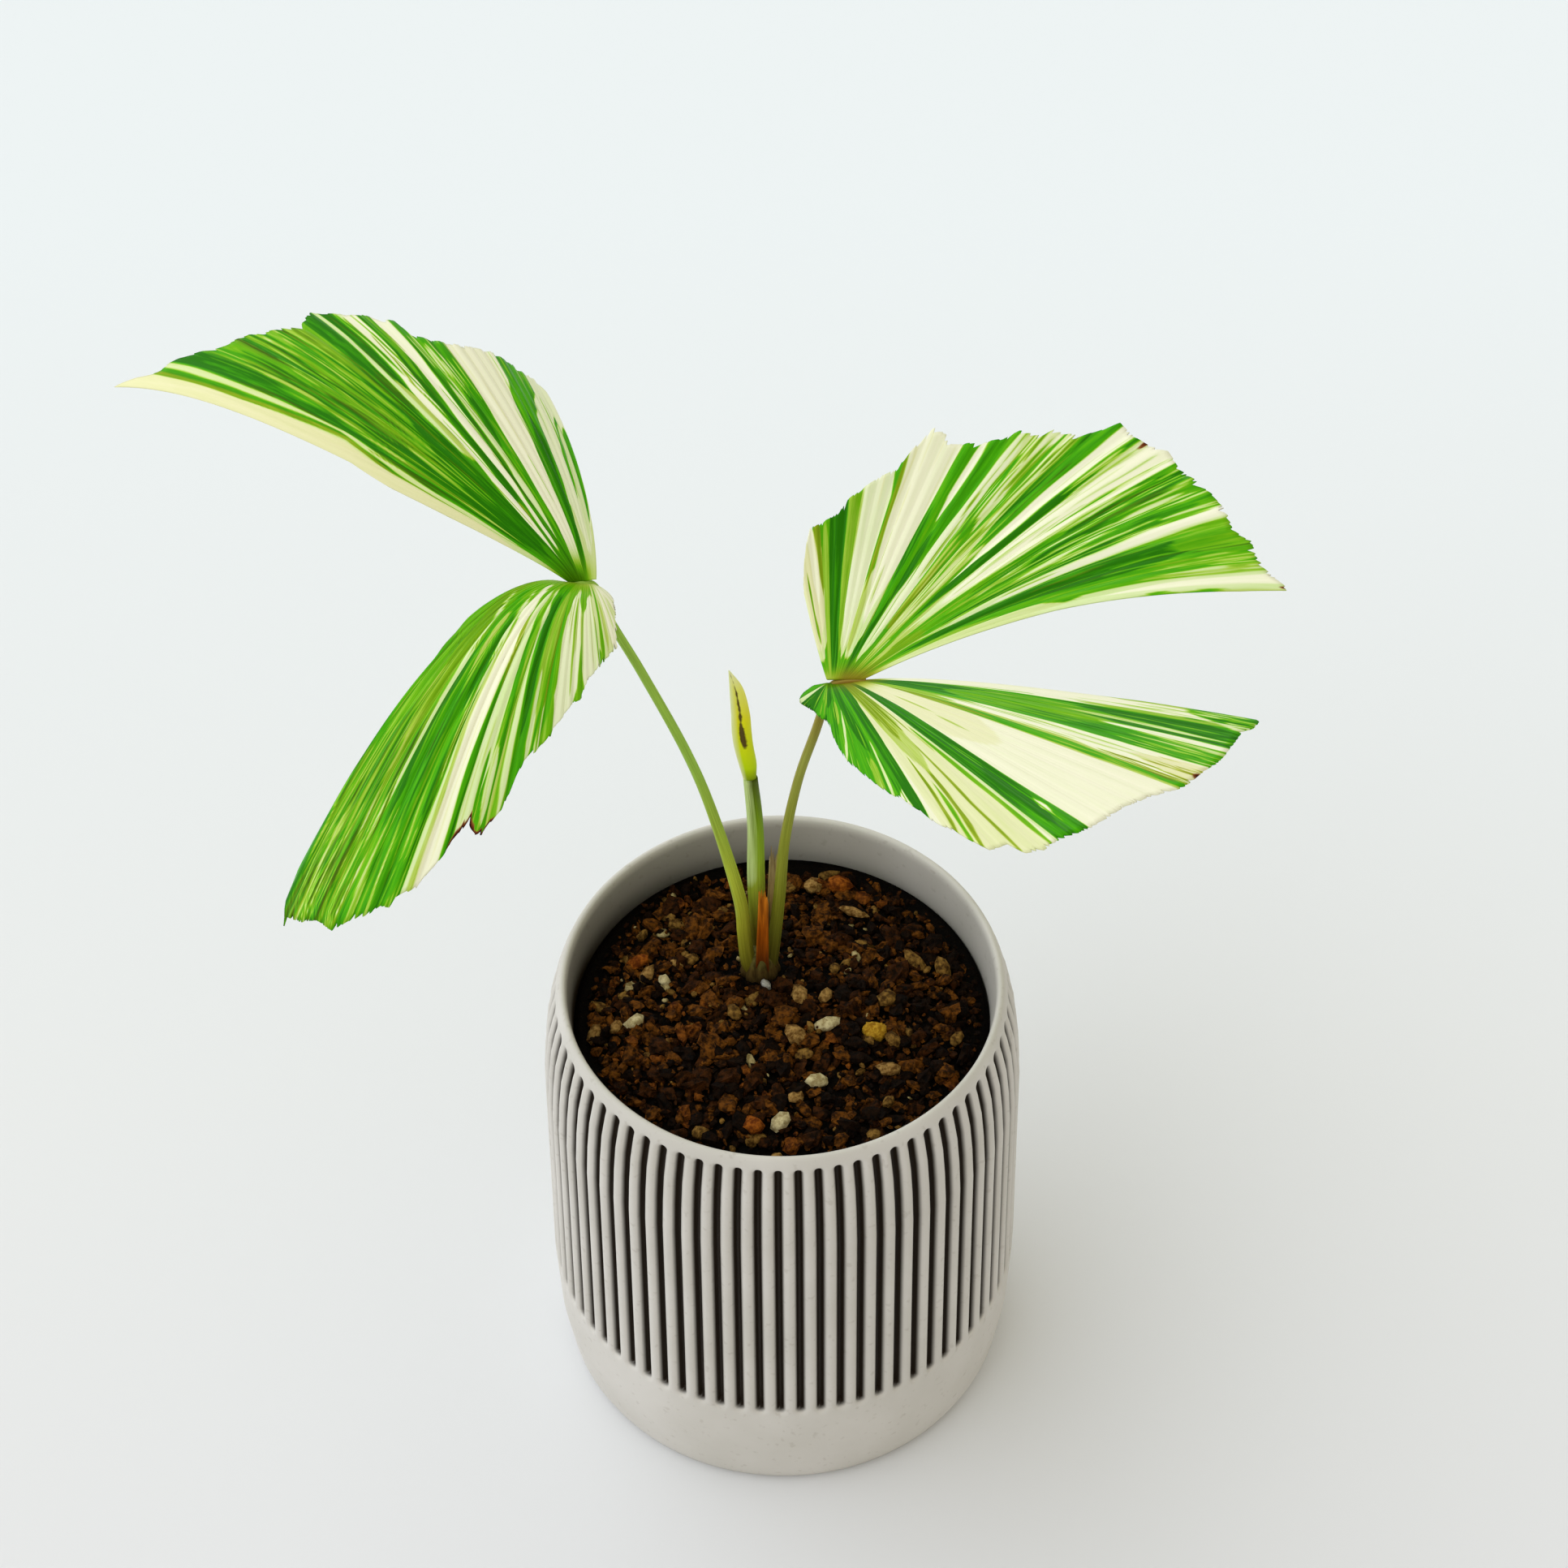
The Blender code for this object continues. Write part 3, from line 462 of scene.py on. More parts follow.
RIGHT_UPPER = Blade(
    seat=((18.3, RACHIS_Y, 211.0), (10.7, RACHIS_Y, 211.1)), side=1,
    heading=21.4, rise=14.7, roll=-10.4, fan=80, cup=-6.2,
    spring=(1.4, -21.3), droop=(0.189, -0.539), sway=(-0.206, -0.395),
    edge=((0, 0), (30, 0.2), (45, 0.4), (60, 0.1), (85, -0.3), (96, -0.2)), end=83.0,
    margin=((-1, 95.5), (0, 95.5), (1.2, 94), (4.5, 91.5), (7.8, 92), (10, 89.5), (13, 90.5),
            (16.5, 90), (19.2, 89), (22, 88), (24.8, 89), (26, 87.5), (29, 86), (32, 86.5),
            (32.8, 83), (34.5, 78.5), (37.8, 76.5), (38.5, 74), (41.8, 72.5), (43.2, 69),
            (46.5, 65.5), (50.5, 63), (51.8, 65), (54.2, 65.5), (56.2, 59), (57.5, 54.5),
            (60.8, 51.5), (64.5, 47.5), (67.5, 44.5), (68.8, 42), (73, 39.5), (77, 38),
            (79, 33), (81, 28), (83, 21)),
    fold=0.2,
    ground=(0.74, 0.04),
    bands=(
        (STRAW, (0, -2, 5), (20, -2, 5), (35, -2, 4.6), (54, -2, 3.6)),
        (PALE, (40, -2, 3.4), (60, -2, 3.4), (75, -2, 3.2), (130, -2, 2.8)),
        (CREAM, (56, 0.8, 2.6), (75, 0.9, 2.6), (130, 0.3, 2.4)),
        (MOSS, (48, -2, -0.1), (75, -2, 0), (130, -2, -0.2)),
        (LIME, (0, 5, 8), (18, 5, 7.4), (34, 4.6, 6.2)),
        (LIME, (64, 3.3, 4.2), (130, 3, 4.4)),
        (DEEP, (8, 9.6, 13.4), (16, 8.7, 12.8), (30, 7.6, 11.8), (44, 6.6, 11.6), (66, 6.5, 11.3),
         (82, 7.2, 11)),
        (BRIGHT, (74, 7.4, 11.4), (84, 6.4, 12.4), (130, 6.4, 12.8)),
        (TURF, (4, 13, 26), (12, 13.5, 24), (20, 14, 22)),
        (PALE, (14, 13.4, 14.2), (24, 12.2, 13.4), (40, 11.4, 13.4), (60, 11.6, 13.5),
         (75, 12.1, 14), (130, 12.9, 14.9)),
        (IVORY, (34, 11.8, 13), (60, 12, 13.2), (75, 12.5, 13.7), (130, 13.2, 14.6)),
        (DEEP, (22, 13.8, 16), (45, 13.5, 15.1), (60, 13.6, 15.3), (87, 15.1, 16.5)),
        (PALE, (36, 14.9, 15.9), (55, 16, 17), (72, 17.4, 18.5), (86, 17.8, 18.7)),
        (DEEP, (46, 17.3, 19.2), (58, 18, 19.9), (70, 18.8, 20)),
        (PALE, (32, 18.2, 18.9), (55, 19.4, 20.1), (84, 20, 20.6)),
        (DEEP, (58, 20.5, 22.2), (75, 20.9, 22.4), (90, 20.8, 22)),
        ((0.36, 0.3), (6, 21, 25.6), (14, 23, 28.4), (30, 22.7, 27.9), (50, 22.3, 27.4)),
        (PALE, (16, 24, 27.6), (30, 22.9, 27.4), (45, 22.4, 27.3), (70, 22.6, 27.8)),
        (CREAM, (27, 23.6, 27), (36, 22.8, 27.3), (48, 22.3, 27.4), (70, 22.5, 27.9),
         (130, 22.8, 28.2)),
        (LEAF, (56, 23.5, 24), (70, 23.6, 24.1), (84, 23.7, 24)),
        (DEEP, (20, 28, 31.4), (30, 27.8, 31), (37, 27.4, 29.3), (50, 27.4, 28.8),
         (70, 27.9, 28.8), (90, 28.2, 28.8)),
        (IVORY, (32, 29.6, 31), (45, 28.9, 31.2), (60, 29, 31.3), (130, 29, 31.6)),
        (STRAW, (8, 31, 36), (16, 31.8, 36.6), (30, 31.6, 36.2), (44, 31.3, 36), (60, 34.1, 40.4),
         (130, 34.4, 41)),
        (LEAF, (40, 31.2, 33.2), (60, 31.4, 34), (130, 31.6, 34.2)),
        (DEEP, (48, 32.7, 33.9), (65, 33, 34), (82, 33.2, 34)),
        (PALE, (48, 34, 34.6), (82, 34.3, 35)),
        (OLIVE, (16, 36, 39), (28, 36.2, 38.8), (37, 36.8, 38.2)),
        (LEAF, (42, 35.3, 36.7), (65, 35.6, 36.7), (80, 35.7, 36.4)),
        (LEAF, (40, 37.8, 39.8), (55, 38.2, 40), (68, 38.6, 40)),
        (PALE, (5, 40.4, 46), (18, 39.6, 44.5), (34, 39.5, 43.4)),
        (MILK, (12, 40.2, 44.8), (28, 39.5, 43.7), (38, 39.6, 42.7), (50, 40, 41.9),
         (76, 40.2, 41.7)),
        (LEAF, (38, 42.7, 45.4), (50, 42.1, 44.8), (62, 42, 44.6), (76, 41.8, 43.8)),
        (DEEP, (22, 44, 46.4), (32, 43.8, 46.1), (43, 44, 45.4)),
        (DEEP, (4, 47.2, 51.4), (12, 46.4, 50.5), (20, 45.5, 49.2), (28, 46.2, 48.6)),
        (IVORY, (45, 44.9, 46.2), (60, 44.5, 46.1), (70, 44.6, 46.2)),
        (LEAF, (16, 46.3, 49), (35, 46.2, 48.8), (50, 46.3, 48.5), (70, 46.6, 48.2)),
        (DEEP, (28, 47.2, 48.7), (50, 47.2, 48.4)),
        (PALE, (6, 50.5, 57), (14, 50, 57), (24, 49.4, 56.6), (36, 49, 56.4)),
        (CREAM, (16, 50, 55), (24, 49.6, 55.6), (35, 48.9, 56.2), (50, 48.5, 56.4),
         (130, 48.2, 57.4)),
        (STRAW, (6, 53.5, 59), (18, 54, 58.4), (30, 55.4, 57.4)),
        (MOSS, (8, 55, 58), (18, 55.6, 57.6), (28, 56, 57.2)),
        (OLIVE, (24, 56.3, 57.2), (40, 56.3, 57), (60, 56.4, 57)),
        (STRAW, (6, 58, 64), (20, 57.6, 63.8), (34, 57.4, 63.6)),
        (MILK, (8, 58, 64), (30, 57.5, 63.6), (60, 57.2, 64)),
        (MOSS, (28, 63.3, 64.2), (52, 63.4, 64.1)),
        (LIME, (6, 62.5, 66.6), (25, 64.2, 67), (130, 64.4, 67.4)),
        (DEEP, (2, 64.6, 71.6), (15, 66, 71.4), (30, 66.6, 71.4), (130, 66, 71.4)),
        (LIME, (4, 71.4, 75), (40, 71.4, 73.6)),
        (STRAW, (5, 74.4, 86), (30, 73.4, 86)),
        (WARM, (8, 74.6, 86), (42, 73.8, 86)),
        (CREAM, (20, 74.8, 77.4), (32, 75.6, 78), (42, 76, 79)),
        (OLIVE, (22, 73.8, 74.6), (42, 74.4, 76)),
        (TURF, (10, 77.8, 79.2), (18, 78.6, 79.8), (28, 79.2, 80.2)),
        (MILK, (5, 82, 86), (27, 82, 86)),
    ),
    flecks=(
        (PALE, 14, (3.4, 6.6), (66, 92), 12, 0.2),
        (LIME, 24, (11, 22.6), (10, 44), 16, 0.4),
        (PALE, 44, (14, 22.6), (38, 90), 18, 0.22),
        (DEEP, 34, (14, 22.6), (28, 88), 20, 0.24),
        (IVORY, 34, (34.4, 40.2), (38, 78), 12, 0.22),
        (LEAF, 34, (31.5, 40), (14, 76), 12, 0.22),
        (TURF, 26, (33, 41), (30, 76), 12, 0.24),
        (SHADE, 20, (6, 22.4), (6, 88), 16, 0.2),
        (SHADE, 12, (28, 48), (12, 74), 14, 0.2),
        (MOSS, 14, (31.5, 39), (8, 44), 16, 0.4),
        (LIME, 18, (22.6, 28), (30, 86), 16, 0.13),
        (STRAW, 14, (22.6, 31), (30, 86), 14, 0.3),
        (WARM, 10, (49, 63), (30, 64), 16, 0.3),
        (LEAF, 10, (42, 48.6), (10, 70), 16, 0.3),
        (MOSS, 9, (49, 63.5), (6, 30), 14, 0.3),
        (LIME, 18, (4, 12), (16, 92), 20, 0.2),
        (MOSS, 8, (14, 44), (2, 8), 12, 1.2),
        (LEAF, 9, (-0.6, 0.5), (50, 92), 9, 0.45),
    ),
    hub=((0.8, 0.5), (1.0, 0.5), 4.5),
    torn=(),
    spots=((27.5, 86.2, 0.3, 1.1), (0.0, 94.6, 0.25, 0.5)),
)

RIGHT_LOWER = Blade(
    seat=((19.2, RACHIS_Y, 210.7), (10.7, RACHIS_Y, 209.8)), side=-1,
    heading=-3.6, rise=9.1, roll=14.2, fan=84, cup=2.4,
    spring=(10.8, 21.5), droop=(0.052, -0.178), sway=(0.034, 0.011),
    edge=((0, 0), (45, -0.2), (60, -0.6), (84, -0.5)), end=86.0,
    margin=((-1, 84), (0, 85.5), (2, 84.5), (3.7, 82.5), (9.2, 81.5), (13.8, 81), (17.2, 79.5),
            (22.8, 78.5), (28, 74.5), (32.8, 72.5), (40.5, 72), (46, 70.5), (49.2, 71),
            (52, 69.5), (53.2, 65), (56.5, 64.5), (57.7, 61), (59.5, 55.5), (62.2, 50.5),
            (63.5, 46), (66, 41), (68, 39), (70, 36), (72, 33), (75, 29), (78, 26),
            (80, 22.5), (82, 19), (84, 15), (86, 13)),
    fold=0.06,
    ground=CREAM,
    bands=(
        (IVORY, (4, -2, 5), (30, -2, 4.6), (55, -2, 3.6), (68, 0.3, 2.8), (78, 0.8, 2.2)),
        (MOSS, (50, -2, 0.3), (76, -2, 0.3)),
        (LEAF, (2, 5.2, 18), (14, 5, 17.2), (30, 4.8, 16.4), (52, 4.4, 16.3), (60, 4.2, 16.3),
         (70, 3.2, 16.2), (130, 2.6, 16.4)),
        (DEEP, (2, 5, 18), (12, 5.6, 16.6), (22, 6.4, 14.6), (34, 8, 12)),
        (BRIGHT, (18, 7, 16.2), (36, 5.6, 15.6), (56, 7, 13)),
        (DEEP, (46, 5, 7), (60, 4.6, 7.5), (70, 4.4, 7.7), (85, 4.2, 7.4)),
        (LIME, (46, 3.4, 4.5), (70, 3, 4.2), (84, 3, 4)),
        (LEAF, (69, -2, 3), (130, -2, 3.4)),
        (PALE, (77, 1.8, 4), (90, 1.6, 4.8)),
        (PALE, (44, 7.7, 8.7), (82, 7.8, 8.5)),
        (DEEP, (48, 8.7, 9.8), (82, 8.6, 9.7)),
        (IVORY, (53, 9.9, 11.1), (130, 9.8, 10.9)),
        (LIME, (4, 17, 23), (18, 17, 21.5), (30, 16.4, 17.6)),
        (IVORY, (18, 17.2, 20.4), (30, 16.7, 20.8), (45, 16.3, 20.6), (60, 16.2, 20.3),
         (72, 17, 19.4)),
        (WARM, (63, 16.6, 20.8), (130, 16.8, 20.8)),
        (MOSS, (6, 20.6, 25), (30, 20.4, 24.6), (50, 20.4, 24.2), (62, 21.6, 23.8),
         (130, 22, 23.6)),
        (LEAF, (8, 21.2, 24.2), (30, 21.4, 24), (50, 21.4, 23.6), (62, 22, 23.4),
         (130, 22.3, 23.2)),
        (OLIVE, (8, 21.6, 24.2), (20, 22, 23.8), (34, 22.4, 23.4)),
        ((0.08, 0.36), (2, 24, 41), (14, 24.6, 40.4), (28, 25, 40), (40, 27, 38)),
        (MOSS, (12, 32, 33.2), (22, 32, 33)),
        (MOSS, (23, 33, 34), (32, 33, 33.8)),
        ((0.86, 0.0), (3, 39, 46), (12, 39.8, 46.4), (25, 40.6, 46.9), (45, 41, 46.4),
         (60, 40.6, 46.2), (130, 40.3, 46.2)),
        (DEEP, (3, 39, 46), (12, 39.8, 46.4), (25, 40.6, 46.9), (45, 41, 46.3), (66, 41.6, 45.4)),
        (IVORY, (57.5, 41.5, 42.6), (63.5, 41.7, 42.7)),
        ((0.13, 0.36), (0, 46.4, 62), (30, 47.6, 61), (60, 47.6, 61), (130, 48.4, 59)),
        (PALE, (18, 46.9, 47.4), (30, 46.5, 47.2), (50, 46.1, 46.8), (72, 46.2, 46.9)),
        (BRIGHT, (22, 47.2, 48.3), (50, 46.9, 47.9), (74, 47.2, 48)),
        (OLIVE, (24, 51.7, 52.4), (50, 52.2, 52.9), (72, 52, 52.6)),
        (OLIVE, (24, 53.8, 55), (45, 55, 56), (67, 57.1, 57.9)),
        (BRIGHT, (40, 56, 56.8), (66, 58.2, 58.9)),
        (OLIVE, (30, 56.9, 57.7), (45, 58, 58.8), (60, 59.3, 60)),
        (MOSS, (0, 46, 61), (10, 48.2, 59), (24, 51.5, 57.6), (38, 53.5, 56.5)),
        (OLIVE, (0, 46, 59), (9, 48.2, 57.5), (16, 50.4, 57), (25, 53.4, 57)),
        (DEEP, (2, 57.5, 67), (12, 60.4, 66), (25, 61.6, 65.6), (38, 61.9, 64.8),
         (54, 62.3, 64.2)),
        (LEAF, (0, 66, 92), (12, 65.5, 92), (50, 64, 92)),
        (DEEP, (4, 70, 76), (16, 68.4, 72.6), (26, 67.6, 69.4)),
        (DEEP, (2, 80, 92), (9, 80, 90)),
        (PALE, (22, 66, 66.9), (42, 67.3, 68.2)),
        (PALE, (10, 74.2, 75.3), (18, 75.6, 76.8), (27, 77.6, 78.8)),
        (LIME, (27, 68.2, 70.4), (40, 68.8, 71)),
        (LIME, (7, 76.5, 80.5), (15, 77.5, 80.2)),
    ),
    flecks=(
        (LIME, 10, (-0.6, 3.4), (42, 74), 16, 0.22),
        (PALE, 18, (-0.4, 3), (70, 86), 7, 0.35),
        (DEEP, 16, (-0.4, 3.4), (68, 86), 8, 0.3),
        (PALE, 18, (10, 16), (54, 82), 12, 0.2),
        (LIME, 12, (5, 20), (6, 60), 20, 0.3),
        (DEEP, 22, (4.5, 16), (14, 82), 20, 0.24),
        (MOSS, 12, (16.6, 24), (16, 74), 18, 0.22),
        (BROWN, 16, (19.4, 22.4), (56, 78), 7, 0.26),
        (BROWN, 7, (16.8, 19.6), (66, 80), 6, 0.22),
        (WARM, 8, (24.6, 40), (4, 24), 12, 0.35),
        (PALE, 3, (41.4, 45.8), (30, 60), 12, 0.1),
        (LEAF, 10, (41, 46), (10, 60), 18, 0.25),
        (MOSS, 14, (46.6, 58.6), (2, 30), 14, 0.6),
        (OLIVE, 10, (47, 55), (2, 12), 12, 0.8),
        (DEEP, 16, (64, 85), (4, 40), 10, 0.4),
        (LIME, 14, (65, 84), (8, 42), 9, 0.28),
        (PALE, 7, (66, 82), (10, 42), 7, 0.2),
    ),
    hub=((0.8, 0.95), (1.0, 0.4), 4.2),
    torn=(),
    spots=((19.3, 79.6, 0.7, 0.9),),
)

# The last veins of that blade are short and go on round the rachis as a small lobe.
RIGHT_LOBE = replace(
    RIGHT_LOWER, edge=((0, 86), (14, 86)), end=172,
    margin=((86, 13), (92, 12), (97, 11), (104, 9.6), (115, 8.8), (125, 8.4), (134, 8.2),
            (142, 7.4), (150, 6.2), (160, 4.4), (172, 3)),
    ground=DEEP,
    bands=(
        (LEAF, (0, 86, 100), (14, 86, 104)),
        (LEAF, (0, 142, 172), (14, 142, 172)),
        (PALE, (0, 128, 140), (4, 130, 140), (14, 130, 141)),
    ),
    flecks=((LIME, 8, (88, 128), (2, 9), 5, 3),),
    hub=((0.8, 0.8), (0.5, 0.5), 2),
    spots=(),
)


# Pieces of the leaves: name, node, blade, seed
BLADES = (
    ("leaf_left_upper", "frond_left_upper", LEFT_UPPER, 21),
    ("leaf_left_lower", "frond_left_lower", LEFT_LOWER, 22),
    ("leaf_left_lobe", "frond_left_lower", LEFT_LOBE, 26),
    ("leaf_right_upper", "frond_right_upper", RIGHT_UPPER, 23),
    ("leaf_right_lower", "frond_right_lower", RIGHT_LOWER, 24),
    ("leaf_right_lobe", "frond_right_lower", RIGHT_LOBE, 25),
)


# Meshes

def quads(rows, columns, around=False):
    """Faces of a grid of points, row by row. Around joins the last column to the first."""
    number = np.arange(rows * columns).reshape(rows, columns)
    left = number if around else number[:, :-1]
    right = np.roll(number, -1, axis=1) if around else number[:, 1:]
    corners = (left[:-1], right[:-1], right[1:], left[1:])
    return np.stack(corners, axis=-1).reshape(-1, 4)


def closed(grid):
    """Points and faces of a closed shape from rings, given as rows of a grid. The first
    and last ring are closed to their middles."""
    rows, columns, _ = grid.shape
    first = np.arange(columns)
    last = first + (rows - 1) * columns
    low = np.full(columns, rows * columns)
    poles = np.stack([grid[0].mean(axis=0), grid[-1].mean(axis=0)])
    points = np.vstack([grid.reshape(-1, 3), poles])
    caps = np.vstack([np.stack([np.roll(first, -1), first, low], axis=-1),
                      np.stack([last, np.roll(last, -1), low + 1], axis=-1)])
    return points, (quads(rows, columns, around=True), caps)


def with_poles(numbers, poles=(0.0, 0.0)):
    """A number for each point of a closed shape: those of its rings, then of its ends."""
    return np.append(numbers.ravel(), poles)


def full_turn(count):
    """Angles at equal steps round a full turn."""
    return 2 * np.pi * np.arange(count) / count


def around_z(radii, heights, turns):
    """Rings about Z, one for each row of radii and heights, with points at the turns."""
    x, y = radii * np.cos(turns), radii * np.sin(turns)
    return np.stack([x, y, np.broadcast_to(heights, x.shape)], axis=-1)


def through(points, count):
    """Points or numbers along the smooth curve through the given ones. Each span is a cubic
    whose slope at a given point is half the step between that point's neighbours."""
    given = np.array(points, float).reshape(len(points), -1)
    padded = np.vstack([2 * given[0] - given[1], given, 2 * given[-1] - given[-2]])
    where = np.linspace(0, len(given) - 1, count)
    span = np.minimum(where.astype(int), len(given) - 2)
    t = (where - span)[:, None]
    before, start, end, after = (padded[span + i] for i in range(4))
    return 0.5 * (
        2 * start + (end - before) * t
        + (2 * before - 5 * start + 4 * end - after) * t ** 2
        + (3 * start - before - 3 * end + after) * t ** 3
    )


def smooth_step(share):
    """Rises from 0 to 1 as share does, level at both ends."""
    held = np.clip(share, 0.0, 1.0)
    return held * held * (3 - 2 * held)


def round_path(path, sides):
    """Two unit directions square to a path at each station, and angles round it. The
    first lies as near +X as it can, and the second completes a right hand with the path."""
    along = np.gradient(path, axis=0)
    along /= np.linalg.norm(along, axis=1, keepdims=True)
    front = np.cross(along, np.cross((0.0, 1.0, 0.0), along))
    front /= np.linalg.norm(front, axis=1, keepdims=True)
    across = np.cross(front, along)
    return across[:, None], front[:, None], full_turn(sides)[None, :, None]


def add_object(name, data):
    """An object that shows the data in the scene."""
    made = bpy.data.objects.new(name, data)
    bpy.context.collection.objects.link(made)
    return made


def add_piece(name, points, faces, finish, node, values=None, chart=None, smooth=True):
    """One piece that rides on the plant. Points are in millimetres, faces are arrays of
    equal corner counts, values hold a number per point, chart a place on its UV map."""
    mesh = bpy.data.meshes.new(name)
    corners = np.concatenate([block.ravel() for block in faces])
    counts = np.concatenate([np.full(len(block), block.shape[1]) for block in faces])
    mesh.vertices.add(len(points))
    mesh.vertices.foreach_set("co", (points * MM).astype(np.float32).ravel())
    mesh.loops.add(len(corners))
    mesh.loops.foreach_set("vertex_index", corners.astype(np.int32))
    mesh.polygons.add(len(counts))
    starts = np.concatenate([[0], np.cumsum(counts)[:-1]])
    mesh.polygons.foreach_set("loop_start", starts.astype(np.int32))
    mesh.update(calc_edges=True)
    mesh.validate()
    for title, numbers in (values or {}).items():
        held = mesh.attributes.new(title, "FLOAT", "POINT")
        held.data.foreach_set("value", numbers.astype(np.float32).ravel())
    if chart is not None:
        layer = mesh.uv_layers.new(name="leaf")
        layer.uv.foreach_set("vector", chart[corners].astype(np.float32).ravel())
    mesh.polygons.foreach_set("use_smooth", np.full(len(counts), smooth))
    mesh.materials.append(finish)
    piece = add_object(name, mesh)
    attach(piece, "root")
    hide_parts(node)
    return piece


def thicken(piece, thickness, offset):
    """Gives a sheet its thickness: to both sides at offset 0, below it at offset -1."""
    thick = piece.modifiers.new("thickness", "SOLIDIFY")
    thick.thickness = thickness * MM
    thick.offset = offset


# Materials

def srgb(hex_colour):
    """Linear colour from an sRGB hex value."""
    parts = np.array([int(hex_colour[i:i + 2], 16) / 255 for i in (0, 2, 4)])
    linear = np.where(parts <= 0.04045, parts / 12.92, ((parts + 0.055) / 1.055) ** 2.4)
    return (*linear.tolist(), 1.0)


def add_node(tree, kind, inputs=None, stops=None, **settings):
    """One node with its settings, its inputs as constants or as the outputs that feed
    them, and the stops of its colour ramp as places and hex colours."""
    made = tree.nodes.new("ShaderNode" + kind)
    for name, value in settings.items():
        setattr(made, name, value)
    for socket, value in (inputs or {}).items():
        if isinstance(value, bpy.types.NodeSocket):
            tree.links.new(value, made.inputs[socket])
        else:
            made.inputs[socket].default_value = value
    if stops:
        ramp = made.color_ramp
        while len(ramp.elements) < len(stops):
            ramp.elements.new(1.0)
        for element, (place, colour) in zip(ramp.elements, stops):
            element.position = place
            element.color = srgb(colour)
    return made


def new_material(name, **shader_inputs):
    """A material, its node tree and its shader, with the shader's constants set."""
    made = bpy.data.materials.new(name)
    made.use_nodes = True
    shader = made.node_tree.nodes["Principled BSDF"]
    for socket, value in shader_inputs.items():
        shader.inputs[socket.replace("_", " ")].default_value = value
    return made, made.node_tree, shader


def graded_along(tree, axis, low, high, stops):
    """A colour that follows an axis of the object, with its stops from low to high."""
    place = add_node(tree, "TexCoord").outputs["Object"]
    part = add_node(tree, "SeparateXYZ", {0: place}).outputs[axis]
    share = add_node(tree, "MapRange", {0: part, 1: low * MM, 2: high * MM}).outputs[0]
    return add_node(tree, "ValToRGB", {"Fac": share}, stops=stops).outputs["Color"]


def fibres(tree, place, stretch, detail=3.0, roughness=0.5):
    """Noise drawn out along one axis, where the stretch is smallest."""
    drawn = add_node(tree, "Mapping", {"Vector": place, "Scale": stretch}).outputs["Vector"]
    return add_node(tree, "TexNoise", {"Vector": drawn, "Scale": 1.0, "Detail": detail,
                                       "Roughness": roughness}).outputs["Fac"]


def shaded(tree, colour, pattern, stops, strength):
    """A colour darkened by a pattern, most at the first of its stops."""
    shade = add_node(tree, "ValToRGB", {"Fac": pattern}, stops=stops).outputs["Color"]
    return add_node(tree, "Mix", {0: strength, 6: colour, 7: shade}, data_type="RGBA",
                    blend_type="MULTIPLY").outputs[2]


def marked(tree, colour, mark, value, start, end):
    """A colour that gives way to another, the mark, as a value goes from start to end."""
    share = add_node(tree, "MapRange", {0: value, 1: start, 2: end}).outputs[0]
    return add_node(tree, "Mix", {0: share, 6: colour, 7: mark}, data_type="RGBA").outputs[2]


def feed(tree, shader, colour, sheen, rough, relief, strength, depth):
    """Gives a shader its colour, a roughness between two values as the sheen goes from 0
    to 1, and a relief of a strength and of a depth in metres."""
    gloss = add_node(tree, "MapRange", {0: sheen, 3: rough[0], 4: rough[1]})
    bump = add_node(tree, "Bump", {"Height": relief, "Strength": strength, "Distance": depth})
    tree.links.new(colour, shader.inputs["Base Color"])
    tree.links.new(gloss.outputs[0], shader.inputs["Roughness"])
    tree.links.new(bump.outputs["Normal"], shader.inputs["Normal"])


def glazed_stoneware():
    """Matt-glazed stoneware: soft warm grey with faint mottling and a fine tooth. Shade is
    painted dark brown into the grooves and onto the wall inside. The clouds are about
    26 mm wide, the specks 2 mm and the grains of the tooth 0.8 mm."""
    made, tree, shader = new_material("matt_glazed_stoneware", IOR=1.5, Specular_IOR_Level=0.3)
    place = add_node(tree, "TexCoord").outputs["Object"]
    noises = (add_node(tree, "TexNoise", {"Vector": place, "Scale": scale, "Detail": detail})
              for scale, detail in ((38.0, 4.0), (520.0, 1.0), (1300.0, 2.0)))
    cloud, speck, tooth = (noise.outputs["Fac"] for noise in noises)
    glaze = add_node(tree, "ValToRGB", {"Fac": cloud}, stops=((0.3, "C8C4BC"), (0.7, "D4D0CA")))
    dotted = shaded(tree, glaze.outputs["Color"], speck, ((0.26, "D2CDC6"), (0.36, "FFFFFF")), 0.3)
    # Painted shade, dark brown, in the grooves and on the wall inside.
    painted_shade = add_node(tree, "Attribute", attribute_name="painted_shade").outputs["Fac"]
    colour = marked(tree, dotted, srgb("221605"), painted_shade, 0.05, 0.85)
    feed(tree, shader, colour, cloud, (0.55, 0.72), tooth, 0.12, 0.0002)
    return made


def crumb_finish(name, dark, light, roughness=0.85):
    """Bark, stone or humus crumbs: matt and porous, with darker hollows about 1.4 mm
    apart."""
    made, tree, shader = new_material(name, IOR=1.45, Specular_IOR_Level=0.06)
    place = add_node(tree, "TexCoord").outputs["Object"]
    grain = add_node(tree, "TexNoise", {"Vector": place, "Scale": 700.0, "Detail": 5.0,
                                        "Roughness": 0.65}).outputs["Fac"]
    colour = add_node(tree, "ValToRGB", {"Fac": grain}, stops=((0.4, dark), (0.62, light)))
    feed(tree, shader, colour.outputs["Color"], grain, (roughness - 0.2, roughness), grain,
         0.8, 0.0008)
    return made


